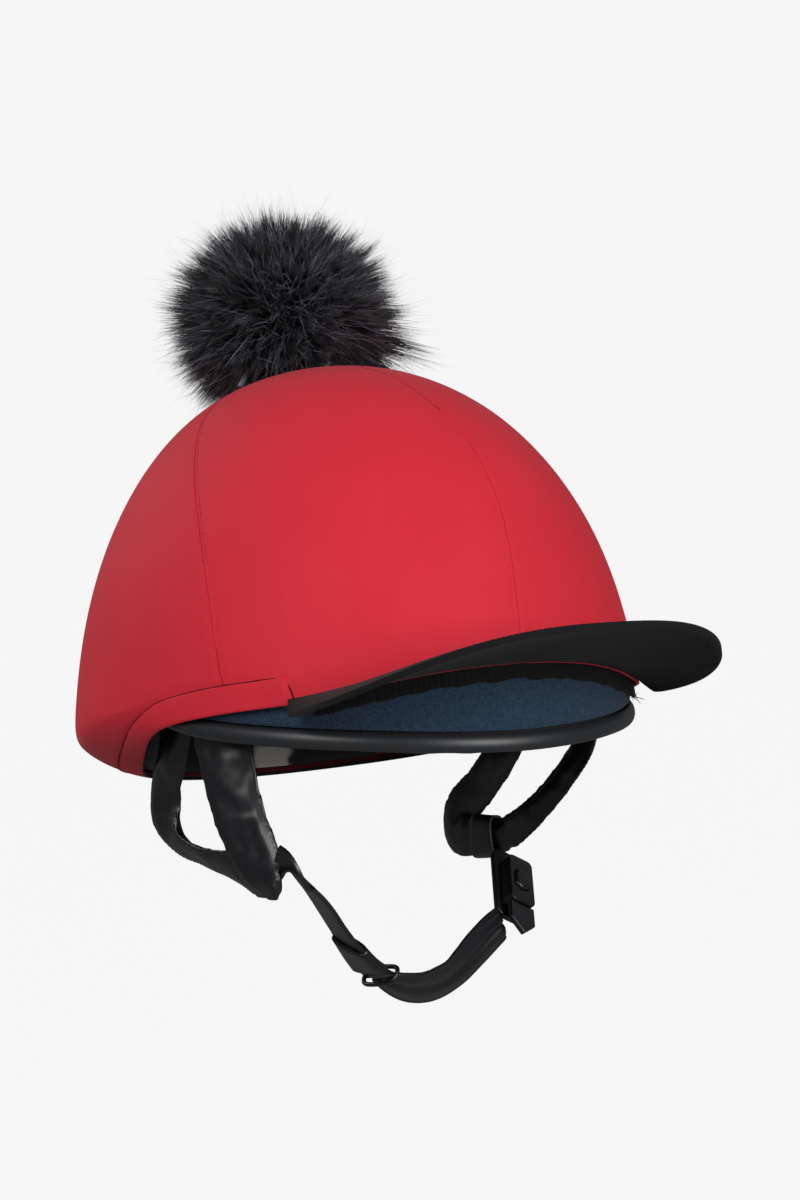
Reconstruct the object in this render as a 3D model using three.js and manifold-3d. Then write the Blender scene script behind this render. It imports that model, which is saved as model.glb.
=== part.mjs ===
// A riding skull cap in its stretch cover, with a fabric peak, a fur pompom and a leather harness.
// Millimetres, +Z up. The front faces -Y and +X is the wearer's left.
// The origin is the middle of the head opening, in the mean plane of the rim.
import * as THREE from "three";
import { mergeVertices } from "three/addons/utils/BufferGeometryUtils.js";
import Module from "manifold-3d";

const wasm = await Module();
wasm.setup();
const V = (x, y, z) => new THREE.Vector3(x, y, z);

// Driving sizes of the crown
const crownWidth = 226;
const crownLength = 268;
const crownHeight = 161.5;
const crownFullness = 2.15; // exponent of the dome, 2 is an ellipsoid
const crownLean = 8; // how far the top sits behind the middle of the rim
const coverCloth = 1.5;
const hemWidth = 11;
const hubBack = 16; // the seams meet this far behind the top of the dome
const hubHole = 3;
const gap = 0.3;
const layerGap = 1.1; // between the cover and the shell
const lobeStart = 27; // height at which the dome ends
const lobeFullness = 1.35; // exponent of the cover's turn under the rim, 2 is an ellipse
const flareTop = 130; // below this height the rear is wider than the dome
const flareCurve = 1.5;

// Driving sizes of the skull cap
const shellWall = 3;
const gripHeight = 12;
const gripSpan = { right: 41, left: 50 }; // degrees that it reaches to each side of the front
const gripThick = 1.2;
const gripRipple = 0.3; // how far its gathers lift its edges
const trimHeight = 7.5;
const trimThick = 4.5;
const padDepth = 26; // foam and lining between the shell and the head
const napeHeight = 10;
const napeThick = 2;

// Driving sizes of the peak and the pompom
const peakHalfWidth = 88;
const peakReach = 104; // from its corners to its front
const peakCornerFront = 98; // distance of the corners in front of the origin
const peakCornerIn = 3; // how far the corners turn in
const peakCornerHeight = 9.3;
const peakArchHeight = 18.7;
const peakCrownHeight = 3; // how far the sheet bulges up between its root and its edge
const peakThick = 2.6;
const peakRootBearing = 46;
const pompomCore = 41;
const pompomReach = 50;
const pompomBack = 32;
const pompomLift = 26.5; // of its centre over the top of the dome
const lockCount = 52;
const lockWidth = 15;

// Driving sizes of the harness
const earInset = 33; // from the cover in to the middle of the ear straps
const harnessDrop = 58; // from the rim plane down to the corners of the ear straps
const rearStrapWidth = 19;
const frontStrapWidth = 24;
const earStrapThick = 6;
const chinDrop = 102; // from the rim plane down to the chin pad
const chinStrapWidth = 19;
const chinStrapThick = 2.5;
const chinPadWidth = 21;
const chinPadThick = 5.5;
const sleeveWall = 1.8;
const keeperWall = 1.4;
const ringWire = 2.4;
const buckleWidth = 13;
const buckleHeight = 24;
const buckleDepth = 7;
const buttonWidth = 8;
const buttonHeight = 10;
const buttonProud = 1.2;
const bucklePadThick = 3;
const bucklePadMargin = 2; // beside the buckle
const bucklePadAbove = 7.6; // up to the ear strap
const bucklePadBelow = 4.5; // down to the chin pad
const strapEndWidth = 13;
const strapEndLength = 15;

const halfWidth = crownWidth / 2;
const halfLength = crownLength / 2;
const earHalfWidth = halfWidth - earInset;
const shellInset = coverCloth + layerGap;
const skirtInset = shellInset + gripThick + gap;
const trimInset = skirtInset - 1;
const linerInset = Math.max(skirtInset + shellWall, trimInset + trimThick) + gap;
const hollowInset = linerInset + padDepth;

// The rim by bearing from the front in degrees. cover, trim and liner are their lower edges and fold is
// where the cover turns in, as shares of the crown's height. tuck is how far it turns in and flare how
// far the rear stands out, as shares of the half width.
const RIM = [
  { bearing: 0, cover: 0.124, fold: 0.14, tuck: 0, flare: 0, trim: -0.086, liner: -0.074 },
  { bearing: 15, cover: 0.118, fold: 0.136, tuck: 0, flare: 0, trim: -0.077, liner: -0.066 },
  { bearing: 30, cover: 0.099, fold: 0.125, tuck: 0, flare: 0, trim: -0.056, liner: -0.05 },
  { bearing: 46, cover: 0.076, fold: 0.11, tuck: 0, flare: 0, trim: -0.027, liner: -0.02 },
  { bearing: 60, cover: 0.077, fold: 0.105, tuck: 0, flare: 0, trim: 0.006, liner: 0.008 },
  { bearing: 68, cover: 0.073, fold: 0.1, tuck: 0, flare: 0.002, trim: 0.028, liner: 0.03 },
  { bearing: 76, cover: 0.063, fold: 0.1, tuck: 0.01, flare: 0.007, trim: 0.064, liner: 0.062 },
  { bearing: 84, cover: 0.038, fold: 0.118, tuck: 0.08, flare: 0.014, trim: 0.116, liner: 0.09 },
  { bearing: 92, cover: 0.017, fold: 0.123, tuck: 0.155, flare: 0.021, trim: 0.118, liner: 0.095 },
  { bearing: 102, cover: 0.002, fold: 0.11, tuck: 0.215, flare: 0.029, trim: 0.118, liner: 0.05 },
  { bearing: 116, cover: -0.016, fold: 0.09, tuck: 0.255, flare: 0.035, trim: 0.118, liner: 0 },
  { bearing: 140, cover: -0.029, fold: 0.08, tuck: 0.26, flare: 0.035, trim: 0.118, liner: -0.009 },
  { bearing: 180, cover: -0.037, fold: 0.08, tuck: 0.26, flare: 0.03, trim: 0.118, liner: -0.014 },
];

// The cover's seams, by their bearing at the hub and at the hem.
const SEAMS = {
  front: { hub: 0, hem: 0 },
  side: { hub: 90, hem: 59 },
  rear: { hub: 180, hem: 180 },
};
const seamSweep = 1.6;
const frontPull = { degrees: 5.8, power: 3 }; // the front seam is pulled to the wearer's left

// Reads a column of a table at a place between its rows, without overshoot.
function along(table, key, column, at) {
  const last = table.length - 1;
  if (at <= table[0][key]) return table[0][column];
  if (at >= table[last][key]) return table[last][column];
  const i = table.findIndex((row) => row[key] > at) - 1;
  const slope = (j) => {
    if (j < 0 || j >= last) return 0;
    return (table[j + 1][column] - table[j][column]) / (table[j + 1][key] - table[j][key]);
  };
  const tangent = (j) => {
    const [before, after] = [slope(j - 1), slope(j)];
    return before * after <= 0 ? 0 : (2 * before * after) / (before + after);
  };
  const step = table[i + 1][key] - table[i][key];
  const t = (at - table[i][key]) / step;
  const [t2, t3] = [t * t, t * t * t];
  return (
    (2 * t3 - 3 * t2 + 1) * table[i][column] +
    (t3 - 2 * t2 + t) * step * tangent(i) +
    (3 * t2 - 2 * t3) * table[i + 1][column] +
    (t3 - t2) * step * tangent(i + 1)
  );
}
const rimHeight = (bearing, column) =>
  along(RIM, "bearing", column, Math.abs(bearing)) * crownHeight;
const tuckDepth = (bearing) => along(RIM, "bearing", "tuck", Math.abs(bearing)) * halfWidth;

// How far the cap stands out from its dome at the rear.
function flareAt(bearing, height) {
  const fall = 1 - Math.min(flareTop, Math.max(0, height)) / flareTop;
  return along(RIM, "bearing", "flare", Math.abs(bearing)) * halfWidth * fall ** flareCurve;
}

// A point on the dome, from its place in plan as shares of the half width and half length.
function dome(nx, ny, inset) {
  const reach = Math.min(1, Math.hypot(nx, ny));
  const rise = (1 - reach ** crownFullness) ** (1 / crownFullness);
  const height = (crownHeight - inset) * rise;
  const bearing = THREE.MathUtils.radToDeg(Math.atan2(nx, -ny));
  const out = reach ? flareAt(bearing, height) / reach - inset : -inset;
  return V((halfWidth + out) * nx, (halfLength + out) * ny + crownLean * rise ** 4, height);
}
const planReach = (height) =>
  (1 - Math.min(1, Math.max(0, height / crownHeight)) ** crownFullness) ** (1 / crownFullness);

// A point on the upright wall round the rim.
function rimPoint(bearing, inset, height) {
  const a = THREE.MathUtils.degToRad(bearing);
  const reach = planReach(height);
  const out = flareAt(bearing, height) - inset;
  return V((halfWidth * reach + out) * Math.sin(a), -(halfLength * reach + out) * Math.cos(a), height);
}

function solidGeometry(points, triangles) {
  const flat = new Float32Array(triangles.flat().flatMap((i) => points[i].toArray()));
  const loose = new THREE.BufferGeometry();
  loose.setAttribute("position", new THREE.BufferAttribute(flat, 3));
  const merged = mergeVertices(loose, 1e-3);
  const index = merged.index.array;
  const kept = [];
  for (let i = 0; i < index.length; i += 3) {
    const [a, b, c] = [index[i], index[i + 1], index[i + 2]];
    if (a !== b && b !== c && c !== a) kept.push(a, b, c);
  }
  merged.setIndex(kept);
  return merged;
}

// A wall between two surfaces. at(side, u, v) gives a point, side 0 outer and 1 inner, u across and
// v down. A looped wall meets itself where u passes 1.
function wall(columns, rows, at, looped = false) {
  const points = [];
  const triangles = [];
  const across = columns + 1;
  for (const side of [0, 1])
    for (let j = 0; j <= rows; j++)
      for (let i = 0; i <= columns; i++)
        points.push(at(side, looped && i === columns ? 0 : i / columns, j / rows));
  const id = (side, i, j) => side * across * (rows + 1) + j * across + i;
  const quad = (a, b, c, d) => triangles.push([a, b, c], [a, c, d]);
  for (let j = 0; j < rows; j++)
    for (let i = 0; i < columns; i++) {
      quad(id(0, i, j), id(0, i, j + 1), id(0, i + 1, j + 1), id(0, i + 1, j));
      quad(id(1, i, j), id(1, i + 1, j), id(1, i + 1, j + 1), id(1, i, j + 1));
    }
  for (let i = 0; i < columns; i++) {
    quad(id(0, i, 0), id(0, i + 1, 0), id(1, i + 1, 0), id(1, i, 0));
    quad(id(0, i, rows), id(1, i, rows), id(1, i + 1, rows), id(0, i + 1, rows));
  }
  for (let j = 0; j < rows && !looped; j++) {
    quad(id(0, 0, j), id(1, 0, j), id(1, 0, j + 1), id(0, 0, j + 1));
    quad(id(0, columns, j), id(0, columns, j + 1), id(1, columns, j + 1), id(1, columns, j));
  }
  return solidGeometry(points, triangles);
}

// A bar through sections that each have the same number of points.
function bar(sections, looped = false) {
  const sides = sections[0].length;
  const points = sections.flat();
  const triangles = [];
  const spans = looped ? sections.length : sections.length - 1;
  for (let j = 0; j < spans; j++)
    for (let i = 0; i < sides; i++) {
      const [a, b] = [j * sides + i, j * sides + ((i + 1) % sides)];
      const next = ((j + 1) % sections.length) * sides;
      const [c, d] = [next + ((i + 1) % sides), next + i];
      triangles.push([a, b, c], [a, c, d]);
    }
  if (!looped)
    for (const [j, turn] of [[0, true], [sections.length - 1, false]]) {
      const middle = points.length;
      const sum = sections[j].reduce((s, p) => s.add(p), V(0, 0, 0));
      points.push(sum.divideScalar(sides));
      for (let i = 0; i < sides; i++) {
        const [a, b] = [j * sides + i, j * sides + ((i + 1) % sides)];
        triangles.push(turn ? [middle, b, a] : [middle, a, b]);
      }
    }
  return solidGeometry(points, triangles);
}

// A geometry as a solid for joins and cuts, turned the right way out.
function toSolid(geometry) {
  const bare = geometry.clone();
  bare.deleteAttribute("normal");
  bare.deleteAttribute("uv");
  const merged = mergeVertices(bare, 1e-3);
  const build = (triVerts) =>
    new wasm.Manifold(
      new wasm.Mesh({ numProp: 3, vertProperties: merged.attributes.position.array, triVerts }),
    );
  const index = Uint32Array.from(merged.index.array);
  const solid = build(index);
  return solid.volume() < 0 ? build(index.reverse()) : solid;
}

function toGeometry(solid) {
  const mesh = solid.getMesh();
  const geometry = new THREE.BufferGeometry();
  geometry.setAttribute("position", new THREE.BufferAttribute(mesh.vertProperties, 3));
  geometry.setIndex(new THREE.BufferAttribute(mesh.triVerts, 1));
  return geometry;
}

// The cover below the dome: it runs down the wall to its fold, and at the rear it turns in there.
const lobeSteps = 10;
function lobePath(bearing) {
  const depth = tuckDepth(bearing);
  const [bottom, fold] = ["cover", "fold"].map((column) => rimHeight(bearing, column));
  const path = [new THREE.Vector2(0, lobeStart)];
  for (let i = 0; i <= lobeSteps; i++) {
    const turn = ((i / lobeSteps) * Math.PI) / 2;
    const [fall, stay] = [Math.sin(turn), Math.cos(turn)].map((x) => Math.abs(x) ** (2 / lobeFullness));
    path.push(new THREE.Vector2(depth * (1 - stay), fold - (fold - bottom) * fall));
  }
  return path;
}

// A point of that path, and its inner side one cloth further in. lengthOf says how far along it, from
// the length down to the fold and the whole length.
function lobePoint(bearing, side, lengthOf) {
  const path = lobePath(bearing);
  const lengths = [0];
  for (let i = 1; i < path.length; i++)
    lengths.push(lengths[i - 1] + path[i].distanceTo(path[i - 1]));
  const last = path.length - 1;
  const wanted = lengthOf(lengths[1], lengths[last]);
  const i = Math.min(last, Math.max(1, lengths.findIndex((l) => l >= wanted - 1e-9)));
  const t = (wanted - lengths[i - 1]) / (lengths[i] - lengths[i - 1]);
  const place = path[i - 1].clone().lerp(path[i], t);
  const run = path[i].clone().sub(path[i - 1]).normalize();
  if (side) place.add(new THREE.Vector2(-run.y, run.x).multiplyScalar(coverCloth));
  return rimPoint(bearing, place.x, place.y);
}
const cornerTurn = 1.5; // degrees over which the panel's edge steps up to the hem
const hemAt = (bearing) =>
  Math.abs(bearing) < peakRootBearing - cornerTurn / 2 ? 0 : hemWidth + gap;

// Where the columns of a front and of a rear panel stand at its lower edge, in degrees.
const sideHem = SEAMS.side.hem;
const evenly = (from, to, count) =>
  Array.from({ length: count + 1 }, (_, i) => from + ((to - from) * i) / count);
const FRONT_COLUMNS = [
  ...evenly(0, peakRootBearing - cornerTurn, 7),
  peakRootBearing,
  (peakRootBearing + sideHem) / 2,
  sideHem,
];
const REAR_COLUMNS = evenly(sideHem, 180, 14);

// One of the four panels, between two seams.
function panel(sign, first, second, stops) {
  const columns = stops.length - 1;
  const span = stops[columns] - stops[0];
  const domeRows = 10;
  const lobeRows = 5;
  const rows = domeRows + lobeRows;
  const turnReach = planReach(lobeStart);
  const topReach = hubHole / halfWidth;
  const bearingAt = (seam, reach) => {
    const pulled = seam === "front" ? sign * frontPull.degrees : 0;
    const even = SEAMS[seam].hub + (SEAMS[seam].hem - SEAMS[seam].hub) * reach ** seamSweep;
    return even + pulled * Math.sin(Math.PI * reach ** frontPull.power);
  };
  const edgeAngle = (reach) => THREE.MathUtils.radToDeg(gap / 2 / (reach * halfWidth));
  const between = (u, reach) => {
    const a = bearingAt(first, reach) + edgeAngle(reach);
    const b = bearingAt(second, reach) - edgeAngle(reach);
    const share = (stops[Math.round(u * columns)] - stops[0]) / span;
    return sign * (a + (b - a) * share);
  };
  const at = (side, u, v) => {
    const row = Math.round(v * rows);
    if (row <= domeRows) {
      const start = Math.asin(topReach ** (crownFullness / 2));
      const end = Math.asin(turnReach ** (crownFullness / 2));
      const sweep = Math.sin(start + ((end - start) * row) / domeRows);
      const reach = sweep ** (2 / crownFullness);
      const a = THREE.MathUtils.degToRad(between(u, reach));
      const shift = (hubBack / halfLength) * (1 - reach ** 2) ** 2;
      return dome(reach * Math.sin(a), shift - reach * Math.cos(a), side * coverCloth);
    }
    const bearing = between(u, 1);
    const share = (row - domeRows - 1) / (lobeRows - 1);
    return lobePoint(bearing, side, (foldAt, total) => {
      const end = total - hemAt(bearing);
      const first = Math.min(foldAt, end / 2);
      return first + (end - first) * share;
    });
  };
  const outward = sign > 0 ? at : (side, u, v) => at(side, 1 - u, v);
  return wall(columns, rows, outward);
}

// The turned hem, from one corner of the peak round the back to the other. Its ends slant with the
// panels' edges.
function hem() {
  const half = [peakRootBearing + gap, ...FRONT_COLUMNS.slice(-2), ...REAR_COLUMNS.slice(1)];
  const stops = [...half, ...half.slice(0, -1).map((bearing) => -bearing).reverse()];
  const at = (side, u, v) => {
    const slant = u === 0 ? -1 : u === 1 ? 1 : 0;
    const bearing = stops[Math.round(u * (stops.length - 1))] + slant * cornerTurn * v;
    return lobePoint(bearing, side, (foldAt, total) => total - hemWidth * (1 - v));
  };
  return wall(stops.length - 1, 3, at);
}

// The dome of the shell or the liner, down to its own lower edge. Its last rows are upright wall.
const wallRows = 2;
const wallShare = 0.7; // height of that wall as a share of the way up to where the cover turns
function bowl(columns, rows, outer, inner, lowest) {
  const at = (side, u, v) => {
    const bearing = u * 360 > 180 ? u * 360 - 360 : u * 360;
    const a = THREE.MathUtils.degToRad(bearing);
    const bottom = lowest(bearing);
    const domeRows = rows - wallRows;
    const row = Math.round(v * rows);
    const start = Math.max(bottom, 0) + (lobeStart - Math.min(bottom, lobeStart)) * wallShare;
    if (row <= domeRows) {
      const end = Math.asin(planReach(start) ** (crownFullness / 2));
      const reach = Math.sin((end * row) / domeRows) ** (2 / crownFullness);
      const inset = side ? inner(bearing, start) : outer(bearing, start);
      const top = side ? inner(bearing, crownHeight) : outer(bearing, crownHeight);
      return dome(reach * Math.sin(a), -reach * Math.cos(a), top + (inset - top) * reach ** 6);
    }
    const height = start + (bottom - start) * ((row - domeRows) / wallRows);
    return rimPoint(bearing, side ? inner(bearing, height) : outer(bearing, height), height);
  };
  return wall(columns, rows, at, true);
}

const rimColumns = 40;
const shellEdge = (bearing) => rimHeight(bearing, "trim") + trimHeight + gap;
function shell() {
  const outer = (bearing, height) => (height === crownHeight ? shellInset : skirtInset);
  const inner = (bearing, height) => outer(bearing, height) + shellWall;
  return bowl(rimColumns, 8, outer, inner, shellEdge);
}

// How far in the cover has turned at a height, for what lies inside it.
function lobeInset(bearing, height) {
  const [bottom, fold] = ["cover", "fold"].map((column) => rimHeight(bearing, column));
  const share = Math.min(1, Math.max(0, (fold - height) / (fold - bottom)));
  return tuckDepth(bearing) * (1 - (1 - share ** lobeFullness) ** (1 / lobeFullness));
}

function liner(clearance) {
  const outer = (bearing, height) => linerInset + lobeInset(bearing, height) - clearance;
  const inner = () => hollowInset + clearance;
  const lowest = (bearing) => rimHeight(bearing, "liner") - clearance;
  return bowl(rimColumns, 8, outer, inner, lowest);
}

// The rubber edge: a rounded bar all round the rim.
function rimTrim() {
  const sections = [];
  const corner = 0.3; // of its width and height
  const outline = [[0, corner], [corner, 0], [1 - corner, 0], [1, corner],
    [1, 1 - corner], [1 - corner, 1], [corner, 1], [0, 1 - corner]];
  for (let j = 0; j < rimColumns; j++) {
    const bearing = (j / rimColumns) * 360 - 180;
    const low = rimHeight(bearing, "trim");
    const side = ([across, up]) =>
      rimPoint(bearing, trimInset + trimThick * across, low + trimHeight * up);
    sections.push(outline.map(side));
  }
  return bar(sections, true);
}

// A pale band on the lining inside the rear of the rim.
function napeBand() {
  const columns = 4;
  const halfSpan = (columns / 2) * (360 / rimColumns);
  const low = rimHeight(180, "liner");
  const at = (side, u, v) => {
    const bearing = 180 - halfSpan + 2 * halfSpan * u;
    const inset = hollowInset + gap + side * napeThick;
    return rimPoint(bearing > 180 ? bearing - 360 : bearing, inset, low + napeHeight * (1 - v));
  };
  return wall(columns, 1, at);
}

// The elastic inside the front edge, gathered between the cover and the shell.
function gripElastic() {
  const ripples = 12;
  const at = (side, u, v) => {
    const bearing = -gripSpan.right + (gripSpan.right + gripSpan.left) * u;
    const low = rimHeight(Math.min(Math.abs(bearing), peakRootBearing), "cover") - gripHeight / 2;
    const wave = Math.sin(u * ripples * 2 * Math.PI) * gripRipple;
    return rimPoint(bearing, shellInset + side * gripThick, low + wave + gripHeight * (1 - v));
  };
  return wall(36, 1, at);
}

// The peak: an arched sheet from the front of the cover out to a rounded edge.
function peak() {
  const outline = 2.3; // exponent of its edge in plan, 2 is an ellipse
  const archPower = 2.9;
  const cornerPower = 8;
  const at = (side, u, v) => {
    const s = 2 * u - 1;
    const bearing = s * peakRootBearing;
    const root = rimPoint(bearing, -gap, rimHeight(bearing, "cover"));
    const turn = (s * Math.PI) / 2;
    const x = Math.sign(s) * Math.abs(Math.sin(turn)) ** (2 / outline);
    const y = Math.abs(Math.cos(turn)) ** (2 / outline);
    const rise = peakArchHeight * (1 - Math.abs(x) ** archPower);
    const half = peakHalfWidth - peakCornerIn * Math.abs(s) ** cornerPower;
    const edge = V(half * x, -peakCornerFront - peakReach * y, peakCornerHeight + rise);
    const place = root.clone().lerp(edge, v);
    place.z += Math.sin(v * Math.PI) * peakCrownHeight * (1 - Math.abs(s)) + (1 - side - v) * peakThick;
    return place;
  };
  return wall(22, 4, at);
}

// The pompom: a ball with tapering locks, hollowed below to sit on the crown.
function pompom() {
  const centre = V(0, pompomBack, crownHeight + pompomLift);
  const ball = new THREE.IcosahedronGeometry(pompomCore, 3);
  let solid = toSolid(ball.translate(centre.x, centre.y, centre.z));
  const golden = Math.PI * (3 - Math.sqrt(5));
  const covered = 0.85; // share of the ball, from its top, that carries locks
  const uneven = 0.07; // share by which the locks differ in length
  const root = pompomCore * 0.8;
  for (let i = 0; i < lockCount; i++) {
    const up = 1 - (2 * covered * (i + 0.5)) / lockCount;
    const flat = Math.sqrt(1 - up * up);
    const aim = V(Math.cos(i * golden) * flat, Math.sin(i * golden) * flat, up);
    const reach = pompomReach * (1 + uneven * Math.sin(i * golden));
    const lock = new THREE.ConeGeometry(lockWidth / 2, reach - root, 4, 1);
    lock.translate(0, (reach - root) / 2 + root, 0);
    lock.applyQuaternion(new THREE.Quaternion().setFromUnitVectors(V(0, 1, 0), aim));
    lock.translate(centre.x, centre.y, centre.z);
    solid = solid.add(toSolid(lock));
  }
  const [seatColumns, seatRows] = [36, 13];
  const over = () => -layerGap;
  const seat = bowl(seatColumns, seatRows, over, () => hollowInset, () => lobeStart);
  const inside = crownHeight - 2 * padDepth;
  const block = new THREE.BoxGeometry(crownWidth, crownLength, inside).translate(0, 0, inside / 2);
  return toGeometry(solid.subtract(toSolid(seat)).subtract(toSolid(block)));
}

// A strap through the rows of a table. out, back and down are shares of the half width between the
// straps, the crown's half length and the drop. face and dip aim its outer side, in degrees.
function strapFrames(rows, sizes) {
  const places = rows.map((row) =>
    V(row.out * earHalfWidth, row.back * halfLength, -row.down * sizes.drop));
  const curve = new THREE.CatmullRomCurve3(places, false, "centripetal");
  const table = rows.map((row, i) => ({ ...row, at: i / (rows.length - 1) }));
  return Array.from({ length: sizes.steps + 1 }, (_, j) => {
    const at = j / sizes.steps;
    const run = curve.getTangent(at);
    const read = (column) => along(table, "at", column, at);
    const [face, dip] = [read("face"), read("dip")].map(THREE.MathUtils.degToRad);
    const out = V(Math.sin(face) * Math.cos(dip), -Math.cos(face) * Math.cos(dip), -Math.sin(dip));
    out.addScaledVector(run, -out.dot(run)).normalize();
    const across = out.clone().cross(run);
    return { place: curve.getPoint(at), run, out, across, wide: read("wide"), thick: read("thick") };
  });
}

const strapSides = 8;
const strapSquare = 0.45; // powers that round the section, 1 is an ellipse and 0 a square
const strapRound = 0.7;
const bent = (value, power) => Math.sign(value) * Math.abs(value) ** power;
function strapSections(rows, sizes, grow = 0) {
  return strapFrames(rows, sizes).map((frame) => {
    const halfWide = (sizes.width * frame.wide) / 2 + grow;
    const halfThick = (sizes.thick * frame.thick) / 2 + grow;
    return Array.from({ length: strapSides }, (_, i) => {
      const turn = ((i + 0.5) / strapSides) * 2 * Math.PI;
      const point = frame.place.clone();
      point.addScaledVector(frame.across, bent(Math.cos(turn), strapSquare) * halfWide);
      return point.addScaledVector(frame.out, bent(Math.sin(turn), strapRound) * halfThick);
    });
  });
}
const strap = (rows, sizes, grow) => bar(strapSections(rows, sizes, grow));

const RIGHT_REAR = [
  { out: -1.05, back: -0.01, down: -0.3, face: -72, dip: 0, wide: 0.95, thick: 0.9 },
  { out: -1.04, back: 0.07, down: -0.04, face: -72, dip: 0, wide: 1, thick: 1 },
  { out: -1.01, back: 0.175, down: 0.21, face: -72, dip: 0, wide: 1, thick: 1.05 },
  { out: -1.01, back: 0.19, down: 0.4, face: -74, dip: 8, wide: 1, thick: 1 },
  { out: -0.995, back: 0.15, down: 0.555, face: -78, dip: 32, wide: 0.95, thick: 1 },
  { out: -0.975, back: 0.03, down: 0.69, face: -82, dip: 48, wide: 0.9, thick: 1 },
  { out: -0.96, back: -0.13, down: 0.785, face: -80, dip: 40, wide: 0.95, thick: 1 },
  { out: -0.95, back: -0.29, down: 0.87, face: -76, dip: 18, wide: 1, thick: 0.9 },
  { out: -0.94, back: -0.44, down: 0.975, face: -74, dip: 0, wide: 0.6, thick: 0.8 },
];
const RIGHT_FRONT = [
  { out: -1.09, back: -0.32, down: -0.2, face: -50, dip: 0, wide: 1, thick: 0.9 },
  { out: -1.07, back: -0.32, down: 0.02, face: -50, dip: 0, wide: 1, thick: 1 },
  { out: -1.05, back: -0.325, down: 0.25, face: -50, dip: 0, wide: 0.98, thick: 1 },
  { out: -1.025, back: -0.335, down: 0.5, face: -54, dip: 0, wide: 0.96, thick: 1 },
  { out: -0.985, back: -0.36, down: 0.72, face: -62, dip: 0, wide: 0.96, thick: 1 },
  { out: -0.955, back: -0.395, down: 0.9, face: -70, dip: 0, wide: 0.85, thick: 0.9 },
];
const LEFT_REAR = [
  { out: 1.06, back: 0.02, down: -0.3, face: 100, dip: 0, wide: 0.95, thick: 0.9 },
  { out: 1.03, back: 0.055, down: -0.08, face: 104, dip: 0, wide: 1, thick: 1 },
  { out: 0.98, back: 0.135, down: 0.17, face: 108, dip: 0, wide: 1, thick: 1 },
  { out: 0.96, back: 0.25, down: 0.36, face: 110, dip: 0, wide: 1, thick: 1 },
  { out: 0.925, back: 0.36, down: 0.55, face: 108, dip: 0, wide: 1.05, thick: 1 },
  { out: 0.905, back: 0.37, down: 0.67, face: 100, dip: 0, wide: 1, thick: 1 },
  { out: 0.91, back: 0.22, down: 0.745, face: 93, dip: 0, wide: 0.9, thick: 1 },
  { out: 0.925, back: 0.07, down: 0.755, face: 88, dip: 0, wide: 0.8, thick: 0.9 },
];
const LEFT_FRONT = [
  { out: 1.1, back: -0.34, down: -0.2, face: 68, dip: 0, wide: 0.95, thick: 0.9 },
  { out: 1.08, back: -0.32, down: 0.1, face: 69, dip: 0, wide: 0.92, thick: 0.95 },
  { out: 1.03, back: -0.25, down: 0.3, face: 71, dip: 0, wide: 0.78, thick: 0.95 },
  { out: 0.985, back: -0.15, down: 0.49, face: 74, dip: 0, wide: 0.68, thick: 0.95 },
  { out: 0.945, back: -0.03, down: 0.655, face: 80, dip: 0, wide: 0.66, thick: 0.95 },
  { out: 0.93, back: 0.07, down: 0.74, face: 86, dip: 0, wide: 0.68, thick: 0.9 },
];
const CHIN_STRAP = [
  { out: -0.94, back: -0.43, down: 0.45, face: -92, dip: 0, wide: 0.8, thick: 1 },
  { out: -0.88, back: -0.46, down: 0.49, face: -98, dip: 14, wide: 0.85, thick: 1 },
  { out: -0.8, back: -0.425, down: 0.53, face: -102, dip: 26, wide: 0.9, thick: 1 },
  { out: -0.7, back: -0.395, down: 0.6, face: -104, dip: 33, wide: 1, thick: 1 },
  { out: -0.57, back: -0.345, down: 0.71, face: -104, dip: 35, wide: 1, thick: 1 },
  { out: -0.44, back: -0.3, down: 0.82, face: -98, dip: 36, wide: 1, thick: 1 },
  { out: -0.33, back: -0.265, down: 0.9, face: -86, dip: 40, wide: 0.95, thick: 1 },
  { out: -0.25, back: -0.252, down: 0.942, face: -74, dip: 46, wide: 0.8, thick: 1 },
];
const CHIN_PAD = [
  { out: -0.235, back: -0.25, down: 0.947, face: -70, dip: 50, wide: 0.7, thick: 0.8 },
  { out: -0.12, back: -0.232, down: 0.98, face: -40, dip: 55, wide: 0.9, thick: 1 },
  { out: 0.02, back: -0.2, down: 1, face: -14, dip: 50, wide: 1.05, thick: 1 },
  { out: 0.17, back: -0.17, down: 0.995, face: 0, dip: 44, wide: 1.1, thick: 1 },
  { out: 0.32, back: -0.142, down: 0.95, face: 6, dip: 36, wide: 1.05, thick: 1 },
  { out: 0.46, back: -0.122, down: 0.882, face: 10, dip: 30, wide: 1, thick: 1 },
  { out: 0.58, back: -0.11, down: 0.822, face: 12, dip: 24, wide: 0.9, thick: 0.9 },
  { out: 0.65, back: -0.105, down: 0.79, face: 14, dip: 20, wide: 0.8, thick: 0.8 },
];

const rearSizes = { drop: harnessDrop, width: rearStrapWidth, thick: earStrapThick, steps: 18 };
const frontSizes = { drop: harnessDrop, width: frontStrapWidth, thick: earStrapThick, steps: 12 };
const chinSizes = { drop: chinDrop, width: chinStrapWidth, thick: chinStrapThick, steps: 16 };
const padSizes = { drop: chinDrop, width: chinPadWidth, thick: chinPadThick, steps: 14 };

// Both straps of one side joined round the ear, cut off just below the liner.
function earStrap(rear, front, grow = 0) {
  const joined = toSolid(strap(rear, rearSizes, grow)).add(toSolid(strap(front, frontSizes, grow)));
  return joined.subtract(toSolid(liner(gap)));
}

function chinStrap() {
  return toSolid(strap(CHIN_STRAP, chinSizes)).subtract(earStrap(RIGHT_REAR, RIGHT_FRONT, gap));
}

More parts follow.
